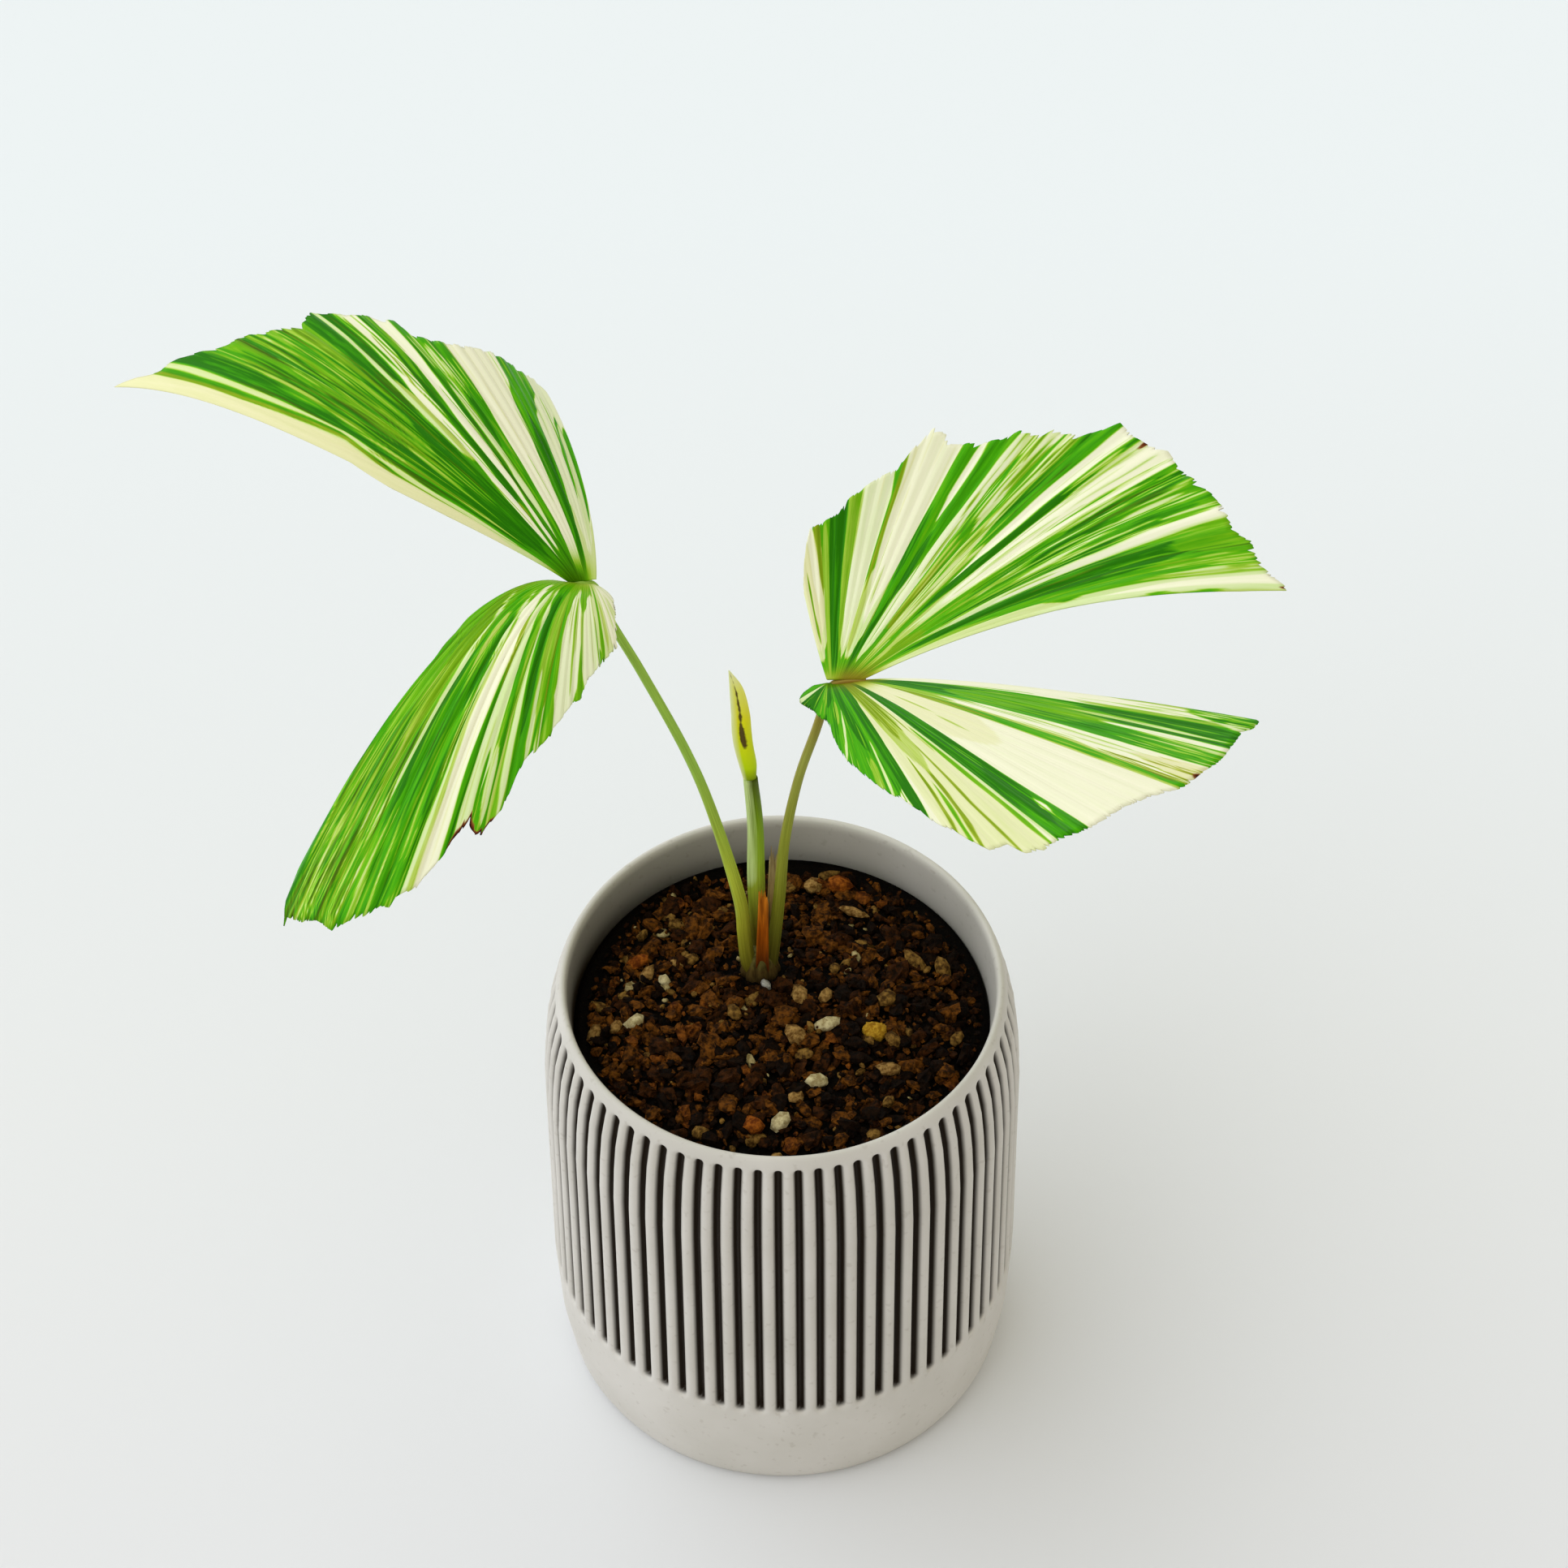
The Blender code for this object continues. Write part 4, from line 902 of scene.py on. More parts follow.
def stalk_finish(name, heights, colours, left, highlight):
    """Living green stalk: waxy, faintly ribbed, olive near the soil. Its colour follows
    its height, and its left side, toward the window, is paler: a painted highlight. Its
    fibres are 0.2 mm wide and 20 mm long."""
    made, tree, shader = new_material(name, IOR=1.45, Specular_IOR_Level=0.15)
    stops = tuple(zip(np.linspace(0, 1, len(colours)), colours))
    body = graded_along(tree, "Z", *heights, stops)
    chart = add_node(tree, "UVMap", uv_map="leaf").outputs["UV"]
    fibre = fibres(tree, chart, (26, 5, 1))
    # Painted highlight: paler down the side toward the window.
    side = add_node(tree, "Attribute", attribute_name="left").outputs["Fac"]
    edge = add_node(tree, "Math", {0: side, 1: fibre}, operation="ADD").outputs[0]
    highlighted = marked(tree, body, srgb(highlight), edge, left + 0.2, left + 1.0)
    colour = shaded(tree, highlighted, fibre, ((0.3, "C8C8B8"), (0.6, "FFFFFF")), 0.8)
    feed(tree, shader, colour, fibre, (0.36, 0.55), fibre, 0.35, 0.0003)
    return made


def spear_finish():
    """The furled young leaf: waxy yellow-green, paler towards its tip, with a painted
    highlight down its left edge, toward the window, and a brown split down its front."""
    made, tree, shader = new_material("young_furled_leaf", IOR=1.45, Specular_IOR_Level=0.2)
    body = graded_along(tree, "Z", 178, 214.5, (
        (0.0, "4E5A08"), (0.06, "8CA406"), (0.16, "C4E000"), (0.35, "DAE600"), (0.6, "E8E40E"),
        (0.85, "E8E868"), (1.0, "EEF0B8"),
    ))
    side, split = (add_node(tree, "Attribute", attribute_name=name).outputs["Fac"]
                   for name in ("left", "split"))
    # Painted highlight: paler down the left edge, toward the window.
    whole = marked(tree, body, srgb("E4E89E"), side, 0.35, 0.85)
    place = add_node(tree, "TexCoord").outputs["Object"]
    noise = add_node(tree, "TexNoise", {"Vector": place, "Scale": 600.0, "Detail": 3.0})
    grain = noise.outputs["Fac"]
    torn = add_node(tree, "Math", {0: split, 1: grain}, operation="ADD").outputs[0]
    colour = marked(tree, whole, srgb("54430A"), torn, 0.86, 1.22)
    feed(tree, shader, colour, grain, (0.34, 0.52), grain, 0.2, 0.0003)
    return made


def husk_finish(name, colours, heights):
    """A spent leaf sheath: dry, fibrous and matt, darker where it meets the soil. Its
    fibres are 0.7 mm wide and 11 mm long."""
    made, tree, shader = new_material(name, IOR=1.4, Specular_IOR_Level=0.15)
    body = graded_along(tree, "Z", *heights, tuple(zip((0.0, 0.5, 0.9), colours)))
    place = add_node(tree, "TexCoord").outputs["Object"]
    fibre = fibres(tree, place, (1400, 1400, 90))
    colour = shaded(tree, body, fibre, ((0.3, "8A7A66"), (0.62, "FFFFFF")), 0.8)
    feed(tree, shader, colour, fibre, (0.6, 0.85), fibre, 0.5, 0.0004)
    return made


def leaf_finish():
    """Variegated palm leaf: satin and leathery, streaked along its veins from cream to
    deep green. The broad streaks come with the mesh, and fine fibres are added here,
    about 0.3 mm apart and far longer than wide."""
    made, tree, shader = new_material("variegated_palm_leaf", IOR=1.45, Specular_IOR_Level=0.07)
    chart = add_node(tree, "UVMap", uv_map="leaf").outputs["UV"]
    fibre = fibres(tree, chart, (220, 9, 1), roughness=0.6)
    cloud = fibres(tree, chart, (70, 3, 1), detail=2.0)
    green, warm, scar = (add_node(tree, "Attribute", attribute_name=name).outputs["Fac"]
                         for name in ("green", "warm", "scar"))
    # Fibres show most in the green, a little in the cream.
    reach = add_node(tree, "MapRange", {0: green, 3: 0.06, 4: 0.58}).outputs[0]
    ripple, drift = (add_node(tree, "Math", {0: pattern, 1: 0.5}, operation="SUBTRACT").outputs[0]
                     for pattern in (fibre, cloud))
    rippled = add_node(tree, "Math", {0: ripple, 1: reach, 2: green}, operation="MULTIPLY_ADD")
    drifted = add_node(tree, "Math", {0: drift, 1: reach, 2: rippled.outputs[0]},
                       operation="MULTIPLY_ADD").outputs[0]
    cool = add_node(tree, "ValToRGB", {"Fac": drifted},
                    stops=((0.0, "F8F5DE"), (0.22, "D4E8A6"), (0.45, "A2CF42"),
                           (0.62, "68B808"), (0.76, "46A804"), (1.0, "257400")))
    olive = add_node(tree, "ValToRGB", {"Fac": drifted},
                     stops=((0.0, "EEE4B0"), (0.3, "CCC656"), (0.62, "98941A"),
                            (1.0, "5A4604")))
    alive = add_node(tree, "Mix", {0: warm, 6: cool.outputs["Color"],
                                   7: olive.outputs["Color"]}, data_type="RGBA")
    ragged = add_node(tree, "Math", {0: ripple, 1: 0.5, 2: scar},
                      operation="MULTIPLY_ADD").outputs[0]
    dead = add_node(tree, "ValToRGB", {"Fac": ragged},
                    stops=((0.25, "9A6A34"), (0.6, "6A2E10"), (0.95, "1A0D06")))
    colour = marked(tree, alive.outputs[2], dead.outputs["Color"], ragged, 0.18, 0.4)
    feed(tree, shader, colour, fibre, (0.26, 0.42), fibre, 0.2, 0.0001)
    return made


# Pot

def make_pot():
    """A profile turned about Z. Each groove is a slot with round ends: a point's depth
    depends on how far inside the slot it lies, measured over the surface, and falls as a
    quarter of an ellipse does from the crown of a rib to the groove's floor. Shade is painted
    into the grooves, and onto the wall inside, more the nearer it is to the mix."""
    side = np.column_stack([np.interp(SIDE_ROWS, *zip(*SIDE)), SIDE_ROWS])
    profile = np.vstack([FOOT, side, LIP])
    number = np.arange(len(profile))[:, None]
    lip_start = len(profile) - len(LIP)
    on_side = (number >= len(FOOT)) & (number < lip_start)
    within = number >= lip_start + LIP_CREST
    pitch = 360 / RIB_COUNT
    steps = np.array(RIB_STEPS)
    ribs = pitch * (np.arange(RIB_COUNT) + 0.5)
    turns = np.radians((ribs[:, None] + pitch * steps).ravel() + RIB_TURN)
    off = np.tile(np.radians(pitch) * steps, RIB_COUNT)
    radius, height = profile[:, :1], profile[:, 1:]
    past = np.maximum(GROOVE_FOOT + GROOVE_HALF - height, height - GROOVE_TOP + GROOVE_HALF)
    inside = GROOVE_HALF - np.hypot(radius * off, np.maximum(past, 0.0))
    share = np.clip((inside + RIB_SHOULDER) / (GROOVE_WALL + RIB_SHOULDER), 0, 1)
    depth = (1 - np.sqrt(1 - share ** 2)) * on_side
    points, faces = closed(around_z(radius - GROOVE_DEPTH * depth, height, turns))
    # Painted shade: on the wall inside, most near the mix and on the side away from the window;
    # deep in the grooves.
    uneven = 1 - 0.5 * np.cos(turns - np.radians(SHADE_TURN))
    wall_shade = np.interp(height, *zip(*WALL_SHADE)) * within * uneven
    painted_shade = np.maximum(smooth_step(inside / GROOVE_WALL) * on_side, wall_shade)
    add_piece("pot_ribbed", points, faces, glazed_stoneware(), "pot",
              {"painted_shade": with_poles(painted_shade, (0.0, 1.0))})


# Potting mix

def soil_height(x, y):
    """A low dome that falls off towards the wall of the pot."""
    share = np.hypot(x, y) / SOIL_RADIUS
    return SOIL_EDGE + (SOIL_MIDDLE - SOIL_EDGE) * (1 - share ** 2)


def make_soil():
    """The dark bed of humus, painted near black to stand for the shade between the crumbs and
    along the wall: a dome with lumps, each height the mean of seeded waves that run every
    way. Its two first rings close it below."""
    chance = np.random.default_rng(5)
    shares = np.concatenate([[0.9, 0.985], np.linspace(1, 0.02, 34)])[:, None]
    grid = around_z(SOIL_RADIUS * shares, 0.0, full_turn(120))
    x, y = grid[..., 0], grid[..., 1]
    waves = chance.uniform(0.25, 1.5, (LUMP_COUNT, 2)) * chance.choice([-1, 1], (LUMP_COUNT, 2))
    phases = chance.uniform(0, 2 * np.pi, LUMP_COUNT)
    swell = np.sin(x[..., None] * waves[:, 0] + y[..., None] * waves[:, 1] + phases).mean(axis=-1)
    lumps = LUMP_HEIGHT * swell * np.clip((1 - shares) * 12, 0, 1)
    grid[..., 2] = soil_height(x, y) - BED_DROP + lumps
    grid[:2, :, 2] = np.array(BED_BOTTOM)[:, None]
    points, faces = closed(grid)
    # Near black: painted shade in the gaps between the crumbs and along the wall.
    finish = crumb_finish("humus_and_painted_shade", "030201", "0D0703", 0.8)
    add_piece("soil_bed", points, faces, finish, "soil")


def crumb(rings, sides):
    """A unit blob, points and faces: rings of a ball from 62 degrees below its middle to
    62 above, closed at its poles."""
    rise = np.radians(np.linspace(-62, 62, rings))[:, None]
    points, faces = closed(around_z(np.cos(rise), np.sin(rise), full_turn(sides)))
    points[-2:] = ((0, 0, -1), (0, 0, 1))
    return points, faces


def turned(first, second, angle):
    """Two coordinates after a turn from the first towards the second."""
    return (first * np.cos(angle) - second * np.sin(angle),
            first * np.sin(angle) + second * np.cos(angle))


def add_crumbs(name, places, sizes, chance, finish, dent, smooth):
    """Many blobs in one piece. Each is the unit blob with seeded dents, drawn out to its
    own three sizes, tipped a little, turned about Z and set down at its place."""
    unit, faces = crumb(rings=4, sides=7)
    count = len(places)
    dents = chance.uniform(1 - dent, 1 + dent, (count, len(unit), 1))
    x, y, z = np.moveaxis(unit * dents * sizes[:, None, :] / 2, -1, 0)
    turn = chance.uniform(0, 2 * np.pi, (count, 1))
    tip = chance.normal(0, CRUMB_TIP, (count, 1))
    z, x = turned(z, x, tip)
    x, y = turned(x, y, turn)
    points = np.stack([x, y, z], axis=-1) + places[:, None, :]
    shift = (np.arange(count) * len(unit))[:, None, None]
    blocks = tuple((block[None] + shift).reshape(-1, block.shape[1]) for block in faces)
    add_piece(name, points.reshape(-1, 3), blocks, finish, "soil", smooth=smooth)


def scatter(chance, spacing, reach):
    """Places on the mix: the points of rows of triangles, each moved by chance. Those are
    kept that lie within reach of the middle, give or take three waves round it."""
    steps = np.arange(-reach, reach + spacing, spacing)
    x, y = np.meshgrid(steps, steps * ROW_STEP)
    x = x + spacing / 2 * (np.arange(len(steps)) % 2)[:, None]
    x, y = ((part + chance.uniform(-JITTER, JITTER, part.shape) * spacing).ravel()
            for part in (x, y))
    ragged = reach + EDGE_WAVE * np.sin(3 * np.arctan2(y, x) + 2.2)
    kept = np.hypot(x, y) < ragged
    return x[kept], y[kept]


def make_crumbs():
    """Coarse chips over finer ones, dealt out to the kinds of crumb by chance, with shade
    painted in as darker crumbs by the wall, and towards the right in front. The stones
    that stand out are set where they lie."""
    chance = np.random.default_rng(11)
    shares = np.cumsum([kind[3] for kind in CRUMBS])
    sets = []
    for spacing, reach, shortest, longest, spread in LAYERS:
        x, y = scatter(chance, spacing, reach)
        count = len(x)
        length = chance.uniform(shortest, longest, count)
        sizes = np.column_stack([length, length * chance.uniform(*CRUMB_WIDTHS, count),
                                 length * chance.uniform(*CRUMB_HEIGHTS, count)])
        z = soil_height(x, y) + spread * chance.uniform(-0.5, 1.0, count)
        # Painted shade: darker kinds of crumb are dealt out more by the wall and towards the right
        # in front.
        painted_shade_bias = (0.4 * (np.hypot(x, y) / reach) ** 4
                + np.clip((0.75 * x - 0.65 * y) / reach, -0.55, 1))
        draw = chance.uniform(0, 1, count) ** (1 + 0.8 * painted_shade_bias)
        dealt = np.searchsorted(shares, draw * shares[-1])
        clear = np.hypot(x - STEM_MIDDLE[0], y - STEM_MIDDLE[1]) > STEM_CLEARANCE + length / 2
        sets.append((np.column_stack([x, y, z])[clear], sizes[clear], dealt[clear]))
    x, y, length, width, kind = np.array(STONES).T
    sets.append((np.column_stack([x, y, soil_height(x, y) + STONE_LIFT]),
                 np.column_stack([length, 0.85 * width, 0.6 * width]), kind.astype(int)))
    places, sizes, dealt = (np.concatenate(column) for column in zip(*sets))
    for number, (name, dark, light, _, rounded) in enumerate(CRUMBS):
        mine = dealt == number
        add_crumbs("mix_" + name, places[mine], sizes[mine], chance,
                   crumb_finish(name, dark, light),
                   ROUND_DENTS if rounded else BROKEN_DENTS, rounded)


# Stems

def add_stalk(node, route, radii, finish, count, highlight_above):
    """A tube along the smooth curve through the route. Its outline at each station is a
    circle of the radius there, raised and lowered round it by a few fine ribs. Its left
    says how far a point lies to the left, from -1 to 1, and 2 less below the height where
    the pale painted highlight starts. Its UV map is in half turns and in units of 100 mm."""
    path = through(route, count)
    across, front, angles = round_path(path, STALK_SIDES)
    radius = through(radii, count)[:, None]
    lobes = 1 + STALK_RIBS * np.cos(7 * angles + 0.6) + STALK_RIBS * np.cos(3 * angles)
    grid = path[:, None] + radius * lobes * (across * np.cos(angles) + front * np.sin(angles))
    points, faces = closed(grid)
    below = 1 - smooth_step((path[:, 2] - highlight_above) / 10)
    left = -np.cos(angles[..., 0]) - 2 * below[:, None]
    run = np.concatenate([[0], np.cumsum(np.linalg.norm(np.diff(path, axis=0), axis=1))]) / 100
    around = np.abs(angles[..., 0] / np.pi - 1)
    chart = np.stack(np.broadcast_arrays(around, run[:, None]), axis=-1).reshape(-1, 2)
    add_piece(node + "_skin", points, faces, finish, node,
              {"left": with_poles(left)}, np.vstack([chart, (0.5, run[0]), (0.5, run[-1])]))


def make_stem_base():
    """The swollen foot that the stalks leave: rings that narrow upwards, with lengthwise
    ridges of old fibre from two waves round it."""
    heights, radii = np.array(STEM_RINGS).T[..., None]
    angles = full_turn(48)
    ridge = 1 + 0.05 * np.cos(9 * angles + 0.4) + 0.04 * np.cos(17 * angles + 1.7)
    points, faces = closed(around_z(radii * ridge, heights, angles) + (*STEM_MIDDLE, 0.0))
    finish = husk_finish("stem_fibre", ("2A1C0C", "55431C", "77743A"), (114, 124))
    add_piece("stem_foot", points, faces, finish, "stem_base")


def make_spear():
    """The furled leaf: rings across the smooth path, a little flattened, pressed in along
    the line of the split from 186 mm up, where its edges meet. A brown streak follows the
    line from 189 mm up and is paler from 207 mm, with a wider spot at 193.5 mm."""
    count = 60
    path = through(SPEAR_LEAF, count)
    across, front, angles = round_path(path, 40)
    width = through(SPEAR_LEAF_WIDTHS, count)[:, None]
    toward = np.degrees(angles) - SPEAR_SPLIT
    height = path[:, 2][:, None, None]
    line = np.exp(-(toward / 15) ** 2) * smooth_step((height - 186) / 8)
    reach = width / 2 * (1 - 0.24 * line)
    grid = path[:, None] + reach * (across * np.cos(angles) + 0.66 * front * np.sin(angles))
    points, faces = closed(grid)
    left = np.broadcast_to(-np.cos(angles[..., 0]), grid.shape[:2])
    streak = np.exp(-((toward - 6) / 14) ** 2) * smooth_step((height - 189) / 6)
    streak = streak * (1 - 0.4 * smooth_step((height - 207) / 6))
    spot = np.exp(-((toward - 20) / 22) ** 2 - ((height - 193.5) / 3.6) ** 2)
    split = np.clip(0.8 * streak + 0.8 * spot, 0, 1)
    add_piece("spear_furled", points, faces, spear_finish(), "spear_leaf",
              {"left": with_poles(left), "split": with_poles(split)})


def make_sheath(node, slot, route, widths, bow, colours, heights, seed):
    """A spent sheath: a strip along its path, bowed back at both edges by the square of
    the distance from its middle. Each column ends short by up to 0.16 of the length, by
    chance, which makes the top ragged."""
    chance = np.random.default_rng(seed)
    count, columns = 40, 15
    path = through(route, count)
    across, front, _ = round_path(path, 4)
    u = np.linspace(-1, 1, columns)[None, :, None]
    width = np.interp(np.linspace(0, 1, count), *zip(*widths))[:, None, None]
    ragged = 1 - 0.16 * chance.uniform(0, 1, columns)
    where = np.linspace(0, 1, count)[:, None] * ragged * (count - 1)
    low = np.minimum(where.astype(int), count - 2)
    part = (where - low)[..., None]
    middle = path[low] * (1 - part) + path[low + 1] * part
    grid = middle + width / 2 * u * across - bow * width * u ** 2 * front
    made = add_piece(node + "_husk", grid.reshape(-1, 3), (quads(count, columns),),
                     husk_finish(node, colours, heights), node)
    thicken(made, SHEATH_THICKNESS, 0.0)


def make_stems():
    """The three stalks, then what stands between them."""
    for node, route, radii, count, highlight_above, look in STALKS:
        add_stalk(node, route, radii, stalk_finish(*look), count, highlight_above)
    make_stem_base()
    make_spear()
    for sheath in SHEATHS:
        make_sheath(*sheath)


# Leaf blades

def fan_points(blade, angle, run):
    """Points and upper normals of a blade at angles within its fan and distances along
    its veins. A vein's direction turns within the blade by sway, and tips down from the
    blade's plane by spring, nearly all of it within the first stretch, and by droop.
    The point is the vein's seat plus the integral of that direction over its length."""
    heading, rise, roll = np.radians((blade.heading, blade.rise, blade.roll))
    along = np.array([np.cos(rise) * np.cos(heading), np.cos(rise) * np.sin(heading),
                      np.sin(rise)])
    level = blade.side * np.array([-np.sin(heading), np.cos(heading), 0.0])
    across = level * np.cos(roll) + blade.side * np.cross(along, level) * np.sin(roll)
    upward = blade.side * np.cross(along, across)

    def directions(at_angle, at_run):
        share = np.minimum(at_angle / blade.fan, 1.0)
        sway, spring, droop = (pair[0] + (pair[1] - pair[0]) * share
                               for pair in (blade.sway, blade.spring, blade.droop))
        turn = np.radians(at_angle + sway * at_run)
        bend = spring * (1 - np.exp(-at_run / SPRING_LENGTH)) + droop * at_run
        tip = np.radians(bend - blade.cup * np.sin(np.pi * share))[..., None]
        flat = np.cos(turn)[..., None] * along + np.sin(turn)[..., None] * across
        return (np.cos(tip) * flat - np.sin(tip) * upward,
                np.sin(tip) * flat + np.cos(tip) * upward)

    knots, weights = np.polynomial.legendre.leggauss(16)
    parts = run[..., None] * (knots + 1) / 2
    steps, _ = directions(angle[..., None], parts)
    first, last = (np.array(end) for end in blade.seat)
    start = first + (last - first) * np.clip(angle / blade.fan, 0, 1)[..., None]
    reach = (steps * (weights / 2)[:, None]).sum(axis=-2) * run[..., None]
    return start + reach, directions(angle, run)[1]


def paint(blade, angle, run, chance):
    """How green and how olive the blade is at each point. Each band is laid over those
    before it: full between its two edges, soft along them, and drawn to a point at an end
    that lies on the blade. Seeded flecks are narrow bands of two stations. All edges
    wander by about a tenth of a degree, in two waves along and across the veins."""
    wander = 0.07 * np.sin(run / 7.3 + 0.9 * angle) + 0.05 * np.sin(run / 3.1 + 2.3 * angle)
    course = angle + wander
    green, warm = (np.full(angle.shape, value) for value in blade.ground)
    bands = list(blade.bands)
    for tint, count, angles, distances, length, width in blade.flecks:
        starts = chance.uniform(*angles, count)
        froms = chance.uniform(distances[0], distances[1] - length / 3, count)
        lengths = length * chance.uniform(0.5, 1.5, count)
        halves = width * chance.uniform(0.4, 1.2, count) / 2
        drifts = chance.normal(0, 0.012, count) * lengths
        for at, low, size, half, drift in zip(starts, froms, lengths, halves, drifts):
            bands.append((tint, (low, at - half, at + half),
                          (low + size, at + drift - half, at + drift + half)))
    for (tint, olive), *stations in bands:
        runs, lows, highs = np.array(stations, float).T
        low, high = np.interp(run, runs, lows), np.interp(run, runs, highs)
        taper = np.ones_like(run)
        fade = np.clip((runs[-1] - runs[0]) / 4, 3, 12)
        if runs[0] > HUB_SIDE:
            taper = taper * np.clip((run - runs[0]) / fade, 0, 1) ** 0.6
        if runs[-1] < BEYOND_MARGIN:
            taper = taper * np.clip((runs[-1] - run) / fade, 0, 1) ** 0.6
        half = (high - low) / 2 * taper
        off = np.abs(course - (low + high) / 2)
        cover = smooth_step((half - off) / PAINT_EDGE + 0.5) * np.clip(taper * 3, 0, 1)
        green = green + (tint - green) * cover
        warm = warm + (olive - warm) * cover
    return green, warm


def margin_length(blade, angle, chance):
    """Length of the veins at each angle: the torn outline, less the bites of seeded teeth
    a millimetre or two apart, which deepen slowly and end short. The first tooth lies
    before the long edge."""
    plain = np.interp(angle, *zip(*blade.margin))
    knots = np.cumsum(chance.uniform(*TOOTH_WIDTHS, TOOTH_COUNT)) - 4
    bites = chance.uniform(0.0, TOOTH_DEPTH, TOOTH_COUNT) * chance.uniform(0.1, 1, TOOTH_COUNT)
    number = np.clip(np.searchsorted(knots, angle) - 1, 0, TOOTH_COUNT - 2)
    share = (angle - knots[number]) / (knots[number + 1] - knots[number])
    return plain - bites[number] * np.clip(share, 0, 1) ** 1.5


def scars(blade, angle, run, inward, chance):
    """How brown the blade is at each point: seeded specks within half a millimetre of the
    outer edge, its torn stretches by the distance inward, and its round dark spots."""
    places = np.arange(-6, 95, 0.6)
    speck = np.interp(angle, places, chance.uniform(0, 1, len(places)) ** 3)
    scar = 0.2 * speck * np.exp(-inward / 0.5)
    for first, last, width in blade.torn:
        along = np.clip((angle - first) / 0.3, 0, 1) * np.clip((last - angle) / 0.3, 0, 1)
        scar = scar + along * np.exp(-(inward / width) ** 2)
    for at, reach, wide, tall in blade.spots:
        scar = scar + np.exp(-((angle - at) / wide) ** 2 - ((run - reach) / tall) ** 2)
    return np.clip(scar, 0, 1)


def make_blade(name, node, blade, finish, seed):
    """The fan as a fine sheet of veins side by side, at equal shares of the way from the
    long edge to the other one. Two waves of pleats and a wave of fine ribs across the
    veins lift it along its normals, and it is thickened below. It carries its streaks,
    which give way to the hub's paint by the rachis, and its scars as numbers at each
    point."""
    chance = np.random.default_rng(seed)
    edge_runs, edge_angles = zip(*blade.edge)
    veins = int(VEINS_PER_DEGREE * (blade.end - min(edge_angles)))
    share = np.linspace(0, 1, veins)
    shortest = blade.margin[0][1]
    tip_angle = share * blade.end + (1 - share) * np.interp(shortest, edge_runs, edge_angles)
    length = margin_length(blade, tip_angle, chance)
    rows = int(10 + ROWS_PER_MM * length.max())
    run = length[:, None] * np.linspace(0, 1, rows)[None] ** ROW_CROWDING
    edge = np.interp(run, edge_runs, edge_angles)
    angle = edge + (blade.end - edge) * share[:, None]
    points, normals = fan_points(blade, angle, run)
    waves = (np.sin(2 * np.pi * angle / FOLD_WIDTHS[0])
             + 0.5 * np.sin(2 * np.pi * angle / FOLD_WIDTHS[1] + 1))
    ribs = np.sin(2 * np.pi * angle / RIB_WIDTH)
    height = (blade.fold * waves + RIB_HEIGHT * ribs) * np.clip(run / FOLD_START, 0, 1)
    points = points + normals * height[..., None]
    green, warm = paint(blade, angle, run, chance)
    greens, warms, hub_reach = blade.hub
    far = smooth_step(2 * angle / blade.fan - 1)
    hub = np.exp(-(run / hub_reach / (1 - HUB_NARROWING * far)) ** 2)
    green = green + (greens[0] + (greens[1] - greens[0]) * far - green) * hub
    warm = warm + (warms[0] + (warms[1] - warms[0]) * far - warm) * hub
    scar = scars(blade, angle, run, length[:, None] - run, chance)
    chart = np.stack([angle / 100, run / 100], axis=-1).reshape(-1, 2)
    faces = quads(veins, rows)
    if blade.side > 0:
        faces = faces[:, ::-1]
    made = add_piece(name, points.reshape(-1, 3), (faces,), finish, node,
                     {"green": green, "warm": warm, "scar": scar}, chart)
    thicken(made, LEAF_THICKNESS, -1.0)


def make_blades():
    """All blades in one finish, each with a seed of its own."""
    finish = leaf_finish()
    for name, node, blade, seed in BLADES:
        make_blade(name, node, blade, finish, seed)


# Stage

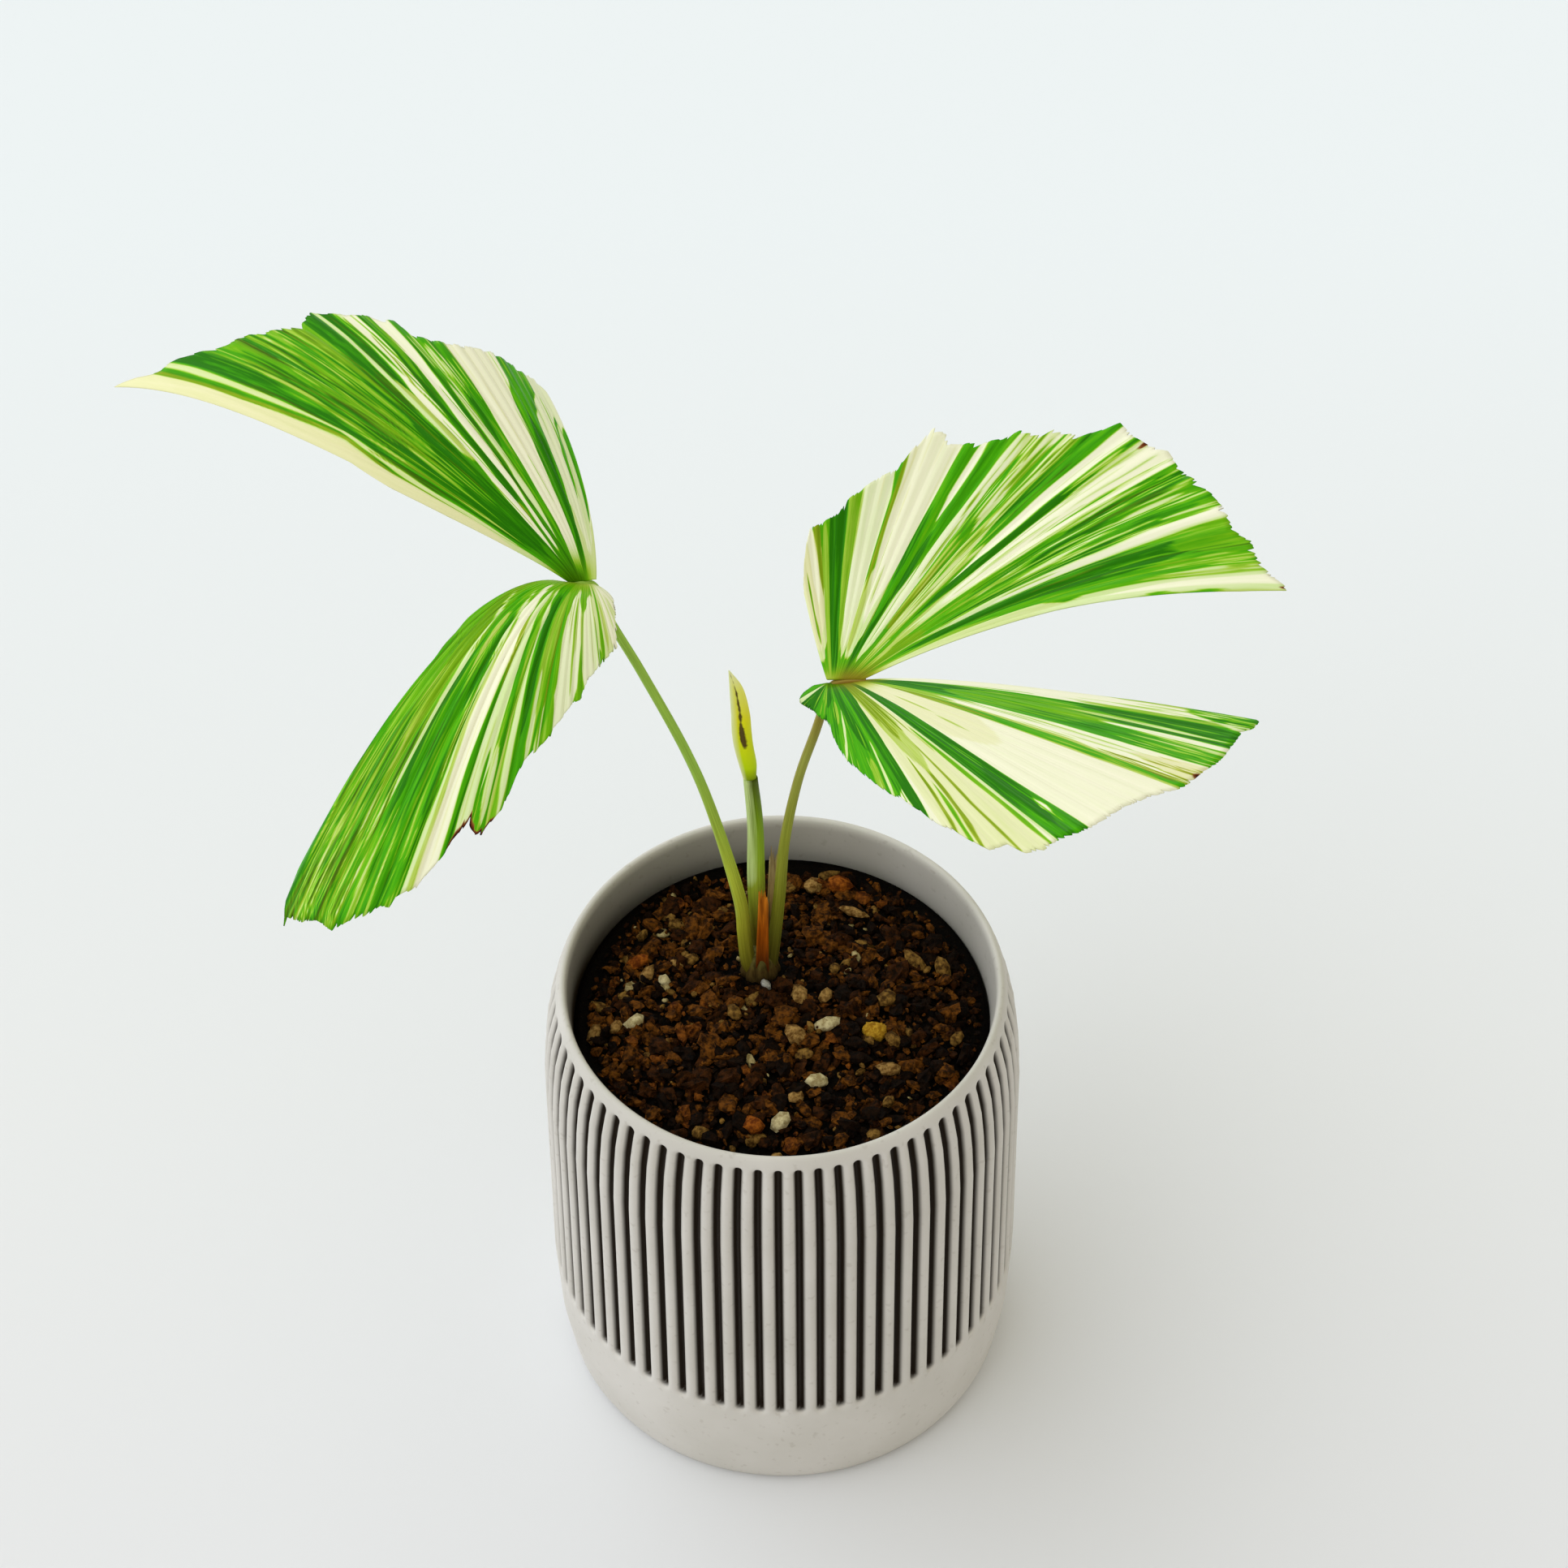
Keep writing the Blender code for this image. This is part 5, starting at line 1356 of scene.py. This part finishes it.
def make_stage():
    """A wide pale floor of matt board, with light painted into its colour: a little cooler
    and lighter at the back.
    """
    mesh = bpy.data.meshes.new("floor")
    corners = ((-1, -1), (1, -1), (1, 1), (-1, 1))
    mesh.from_pydata([(x * FLOOR_REACH, y * FLOOR_REACH, 0) for x, y in corners], [],
                     [(0, 1, 2, 3)])
    made, tree, shader = new_material("matt_white_board", Roughness=0.8, Specular_IOR_Level=0.2)
    # Painted light: a little cooler and lighter towards the back.
    tint = graded_along(tree, "Y", -200, 400,
                        ((0.0, "E3E3E7"), (0.45, "E8EAEC"), (1.0, "EAF0F4")))
    tree.links.new(tint, shader.inputs["Base Color"])
    mesh.materials.append(made)
    floor = add_object("floor", mesh)


def add_lamp(name, toward, angle, energy, colour):
    """Daylight from far off, as wide as its angle, with its middle toward a direction."""
    lamp = bpy.data.lights.new(name, "SUN")
    lamp.angle = np.radians(angle)
    lamp.energy = energy
    lamp.color = srgb(colour)[:3]
    made = add_object(name, lamp)
    made.rotation_euler = Vector(toward).to_track_quat("Z", "Y").to_euler()
    return made


def make_light():
    """Soft daylight from a wide window on the left, the warmer glow of a pale room all
    round, and a reflector behind the plant that only shows as a sheen."""
    world = bpy.data.worlds.new("studio_room")
    world.use_nodes = True
    room = world.node_tree.nodes["Background"]
    room.inputs["Color"].default_value = srgb(ROOM_COLOUR)
    room.inputs["Strength"].default_value = ROOM_STRENGTH
    bpy.context.scene.world = world
    add_lamp("window", *WINDOW)
    add_lamp("reflector", *REFLECTOR).visible_diffuse = False


def make_camera():
    """Looks down at the plant as the photograph does. Its axes are the view direction,
    from pitch and yaw, and the picture's right and up, turned about it by roll."""
    pitch, yaw, roll = np.radians((CAMERA_PITCH, CAMERA_YAW, CAMERA_ROLL))
    forward = np.array([np.sin(yaw) * np.cos(pitch), np.cos(yaw) * np.cos(pitch),
                        -np.sin(pitch)])
    level = np.array([np.cos(yaw), -np.sin(yaw), 0.0])
    raised = np.cross(level, forward)
    right = np.cos(roll) * level + np.sin(roll) * raised
    up = -np.sin(roll) * level + np.cos(roll) * raised
    axes = np.column_stack([right, up, -forward])
    lens = bpy.data.cameras.new("camera")
    lens.lens = CAMERA_LENS
    lens.sensor_width = CAMERA_FILM
    lens.clip_start = 0.01
    camera = add_object("camera", lens)
    place = Matrix.Translation(Vector(CAMERA_PLACE) * MM)
    camera.matrix_world = place @ Matrix(axes.tolist()).to_4x4()
    bpy.context.scene.camera = camera


bpy.context.scene.view_settings.view_transform = "Standard"
make_camera()
make_light()
make_stage()
make_pot()
make_soil()
make_crumbs()
make_stems()
make_blades()
